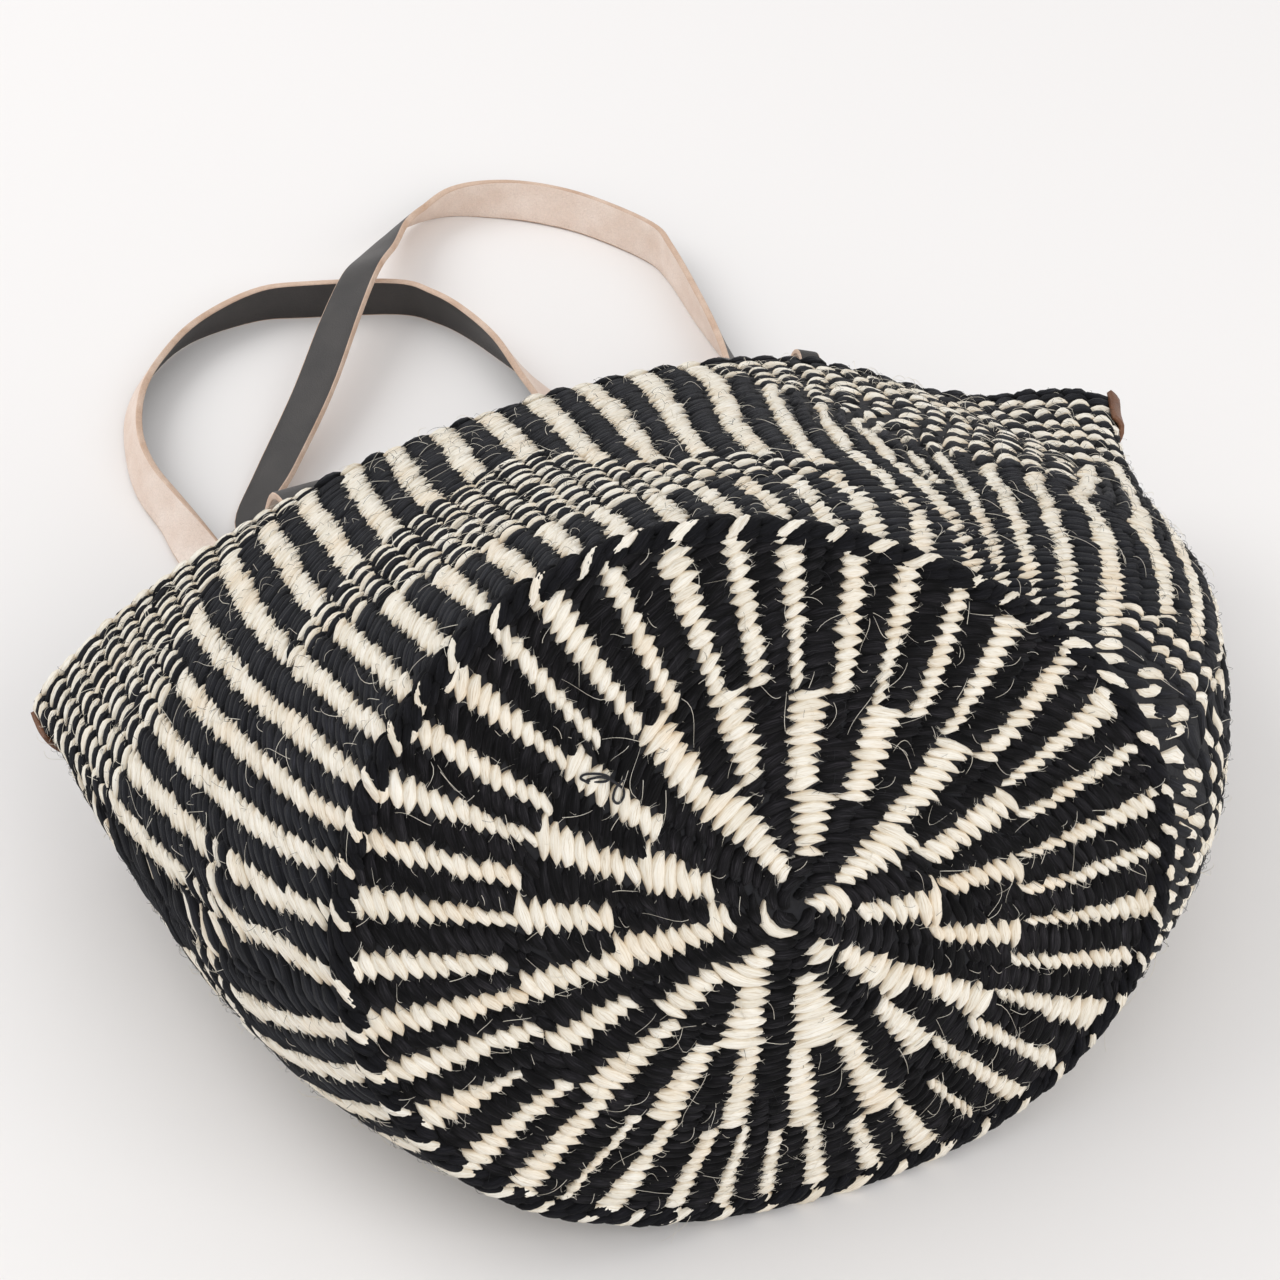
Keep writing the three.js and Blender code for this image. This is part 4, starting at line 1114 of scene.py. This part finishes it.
# Short hairs that stand off the ends of the stitches, along their yarn.
def stitchFuzz(name, laid, surface, look, height, material):
    count = look["count"]
    laid = np.array(laid, float)[dice.integers(0, len(laid), count)]
    end = dice.choice([-1.0, 1.0], count)
    begin = end * dice.uniform(.2, .95, count)
    half = dice.uniform(-.5, .5, count) * (1 - np.abs(begin))

    def onStitch(u, lift):
        bent = np.clip(u, -1, 1)
        share = (laid[:, 1] + laid[:, 3] * half + laid[:, 4] * np.sin(bent * math.pi / 2)
                 + laid[:, 5] * (1 - bent ** 2))
        return drape(surface, laid[:, 0] - laid[:, 2] * u, share, lift)

    rise = height * (1 - np.abs(begin) ** 3) ** .6 + .5
    root = onStitch(begin, rise)
    way = unit(onStitch(begin + .15 * end, rise) - root)
    out = outward(surface, laid[:, 0] - laid[:, 2] * begin, laid[:, 1])
    side = np.cross(out, way)
    stray = dice.normal(0, look["stray"], count)[:, None]
    length = dice.uniform(*look["length"], count)[:, None]
    lift = dice.uniform(*look["lift"], count)[:, None]
    steps = np.arange(fuzz["segments"] + 1) / fuzz["segments"]
    centres = [root + way * length * t + side * length * stray * t * (.4 + t)
               + out * lift * np.sin(t * 2.2) for t in steps]
    hairs(name, centres, fuzz["radius"] * (1 - .7 * steps), side, out, material)


# Long loose fibres that start anywhere on a surface and curl off in any direction.
def looseFibres(name, look, material, surface, count):
    angle = dice.uniform(-180, 180, count)
    share = dice.uniform(.02, 1, count)
    if surface is basePoint:
        share = np.sqrt(share)
    root = surface(angle, share)
    out = outward(surface, angle, share)
    around = unit(surface(angle + 1, share) - root)
    along = np.cross(around, out)
    heading = dice.uniform(0, 2 * np.pi, count)[:, None]
    way = around * np.cos(heading) + along * np.sin(heading)
    side = np.cross(out, way)
    length = dice.uniform(*look["length"], count)[:, None]
    length = length * dice.uniform(.35, 1, count)[:, None]
    lift = dice.uniform(*look["lift"], count)[:, None]
    curl = dice.normal(0, fibres["curl"], count)[:, None]
    steps = np.arange(fibres["segments"] + 1) / fibres["segments"]
    centres = [root + out * (fibres["root"] + lift * np.sin(t * 2.4)) + way * length * t
               + side * length * curl * np.sin(t * 2.8 + curl * 3) for t in steps]
    hairs(name, centres, look["radius"] * (1 - .6 * steps), side, out, material)


stitchFuzz("pale_fuzz_wall", wallLaid["cream"] + wallLaid["bandCream"], wallPoint,
           fuzz["paleWall"], 2.1, paleFuzz)
stitchFuzz("dark_fuzz_wall", wallLaid["black"] + wallLaid["bandBlack"], wallPoint,
           fuzz["darkWall"], 2.3, darkFuzz)
stitchFuzz("pale_fuzz_base", creamLaid, basePoint, fuzz["base"], 2.3, paleFuzz)
stitchFuzz("dark_fuzz_base", blackLaid, basePoint, fuzz["base"], 2.2, darkFuzz)
for tone, material in (("pale", paleFibre), ("dark", darkFibre)):
    for part, surface in (("base", basePoint), ("wall", wallPoint)):
        looseFibres(tone + "_fibres_" + part, fibres[tone], material, surface,
                    fibres[tone][part])

# A dark thread end that curls on the base: angle, share and height of each bend.
curledThread = {"radius": .45, "steps": 5, "sides": 6, "bends": [
    (134.6, .578, 2.2), (134.6, .604, 3.2), (134.6, .621, 3.6), (133.6, .621, 3.8),
    (132.3, .607, 4), (131.2, .588, 4), (131, .573, 3.8), (132.1, .572, 3.6),
    (133.4, .587, 3.4), (134.2, .605, 3), (132.1, .592, 4.6), (131.3, .57, 3.6),
    (131.2, .549, 3.4), (131.3, .53, 3.6), (133, .518, 3.8), (135, .518, 3.8),
    (134.8, .533, 3.8), (132.8, .544, 4), (131.3, .545, 3.6), (129.3, .541, 2.2)]}
bends = np.array(curledThread["bends"])
onBase = drape(basePoint, bends[:, 0], bends[:, 1], bends[:, 2])
steps = curledThread["steps"]
path = np.array([smoothRow(onBase, i / steps) for i in range((len(bends) - 1) * steps + 1)])
forward = unit(np.gradient(path, axis=0))
aside = unit(np.cross(forward, baseOut))
above = np.cross(aside, forward)
sides = curledThread["sides"]
ring = np.linspace(0, 2 * np.pi, sides, endpoint=False)[None, :, None]
points = path[:, None] + curledThread["radius"] * (aside[:, None] * np.cos(ring)
                                                   + above[:, None] * np.sin(ring))
faces = gridFaces(len(path), sides, looped=True)
uv = np.stack([(faces // sides) / len(path), (faces % sides) / sides], -1)
onBag([meshFrom("curled_thread_end", points.reshape(-1, 3), faces, uv,
                              [darkFibre])])
print("bag: loose fibres done")

# Plain pale floor, soft light from above and behind.
studio = {"floor": (.84, .82, .806), "sky": (.93, .93, .94), "skyStrength": .81,
          "window": ((-1.6, 1.4, 2.2), 2.4, 34), "fill": ((.9, -2.3, 1.7), 2.4, 31)}
bpy.ops.mesh.primitive_plane_add(size=14, location=(0, 1.5, 0))
floor = bpy.context.object
floor.name = "floor"
material, tree, shader, node, ramp, mix = nodeTools("pale floor")
shader.inputs["Base Color"].default_value = (*studio["floor"], 1)
shader.inputs["Roughness"].default_value = .75
floor.data.materials.append(material)
world = bpy.data.worlds.new("studio")
bpy.context.scene.world = world
world.use_nodes = True
sky = world.node_tree.nodes["Background"]
sky.inputs["Color"].default_value = (*studio["sky"], 1)
sky.inputs["Strength"].default_value = studio["skyStrength"]
for name in ("window", "fill"):
    at, size, power = studio[name]
    lamp = bpy.data.lights.new(name, "AREA")
    lamp.shape = "DISK"
    lamp.size = size
    lamp.energy = power
    holder = bpy.data.objects.new(name, lamp)
    bpy.context.scene.collection.objects.link(holder)
    holder.location = at
    holder.rotation_euler = (-Vector(at)).to_track_quat("-Z", "Y").to_euler()

# The camera stands where the photograph was taken from.
view = {"azimuth": -22, "height": 44, "distance": 1263, "lens": 85, "sensor": 36,
        "aim": (35, 28), "focal": 3022}
a, e = math.radians(view["azimuth"]), math.radians(view["height"])
toCamera = np.array([math.sin(a) * math.cos(e), -math.cos(a) * math.cos(e), math.sin(e)])
right = np.array([math.cos(a), math.sin(a), 0])
up = np.cross(toCamera, right)
camera = bpy.data.objects.new("camera", bpy.data.cameras.new("camera"))
bpy.context.scene.collection.objects.link(camera)
camera.data.lens = view["lens"]
camera.data.sensor_width = view["sensor"]
camera.location = (toCamera * view["distance"] + place) * .001
aim = -toCamera + (right * view["aim"][0] + up * view["aim"][1]) / view["focal"]
camera.rotation_euler = Vector(aim).to_track_quat("-Z", "Y").to_euler()
bpy.context.scene.camera = camera
bpy.context.scene.view_settings.view_transform = "Standard"
print("bag: light and camera set")
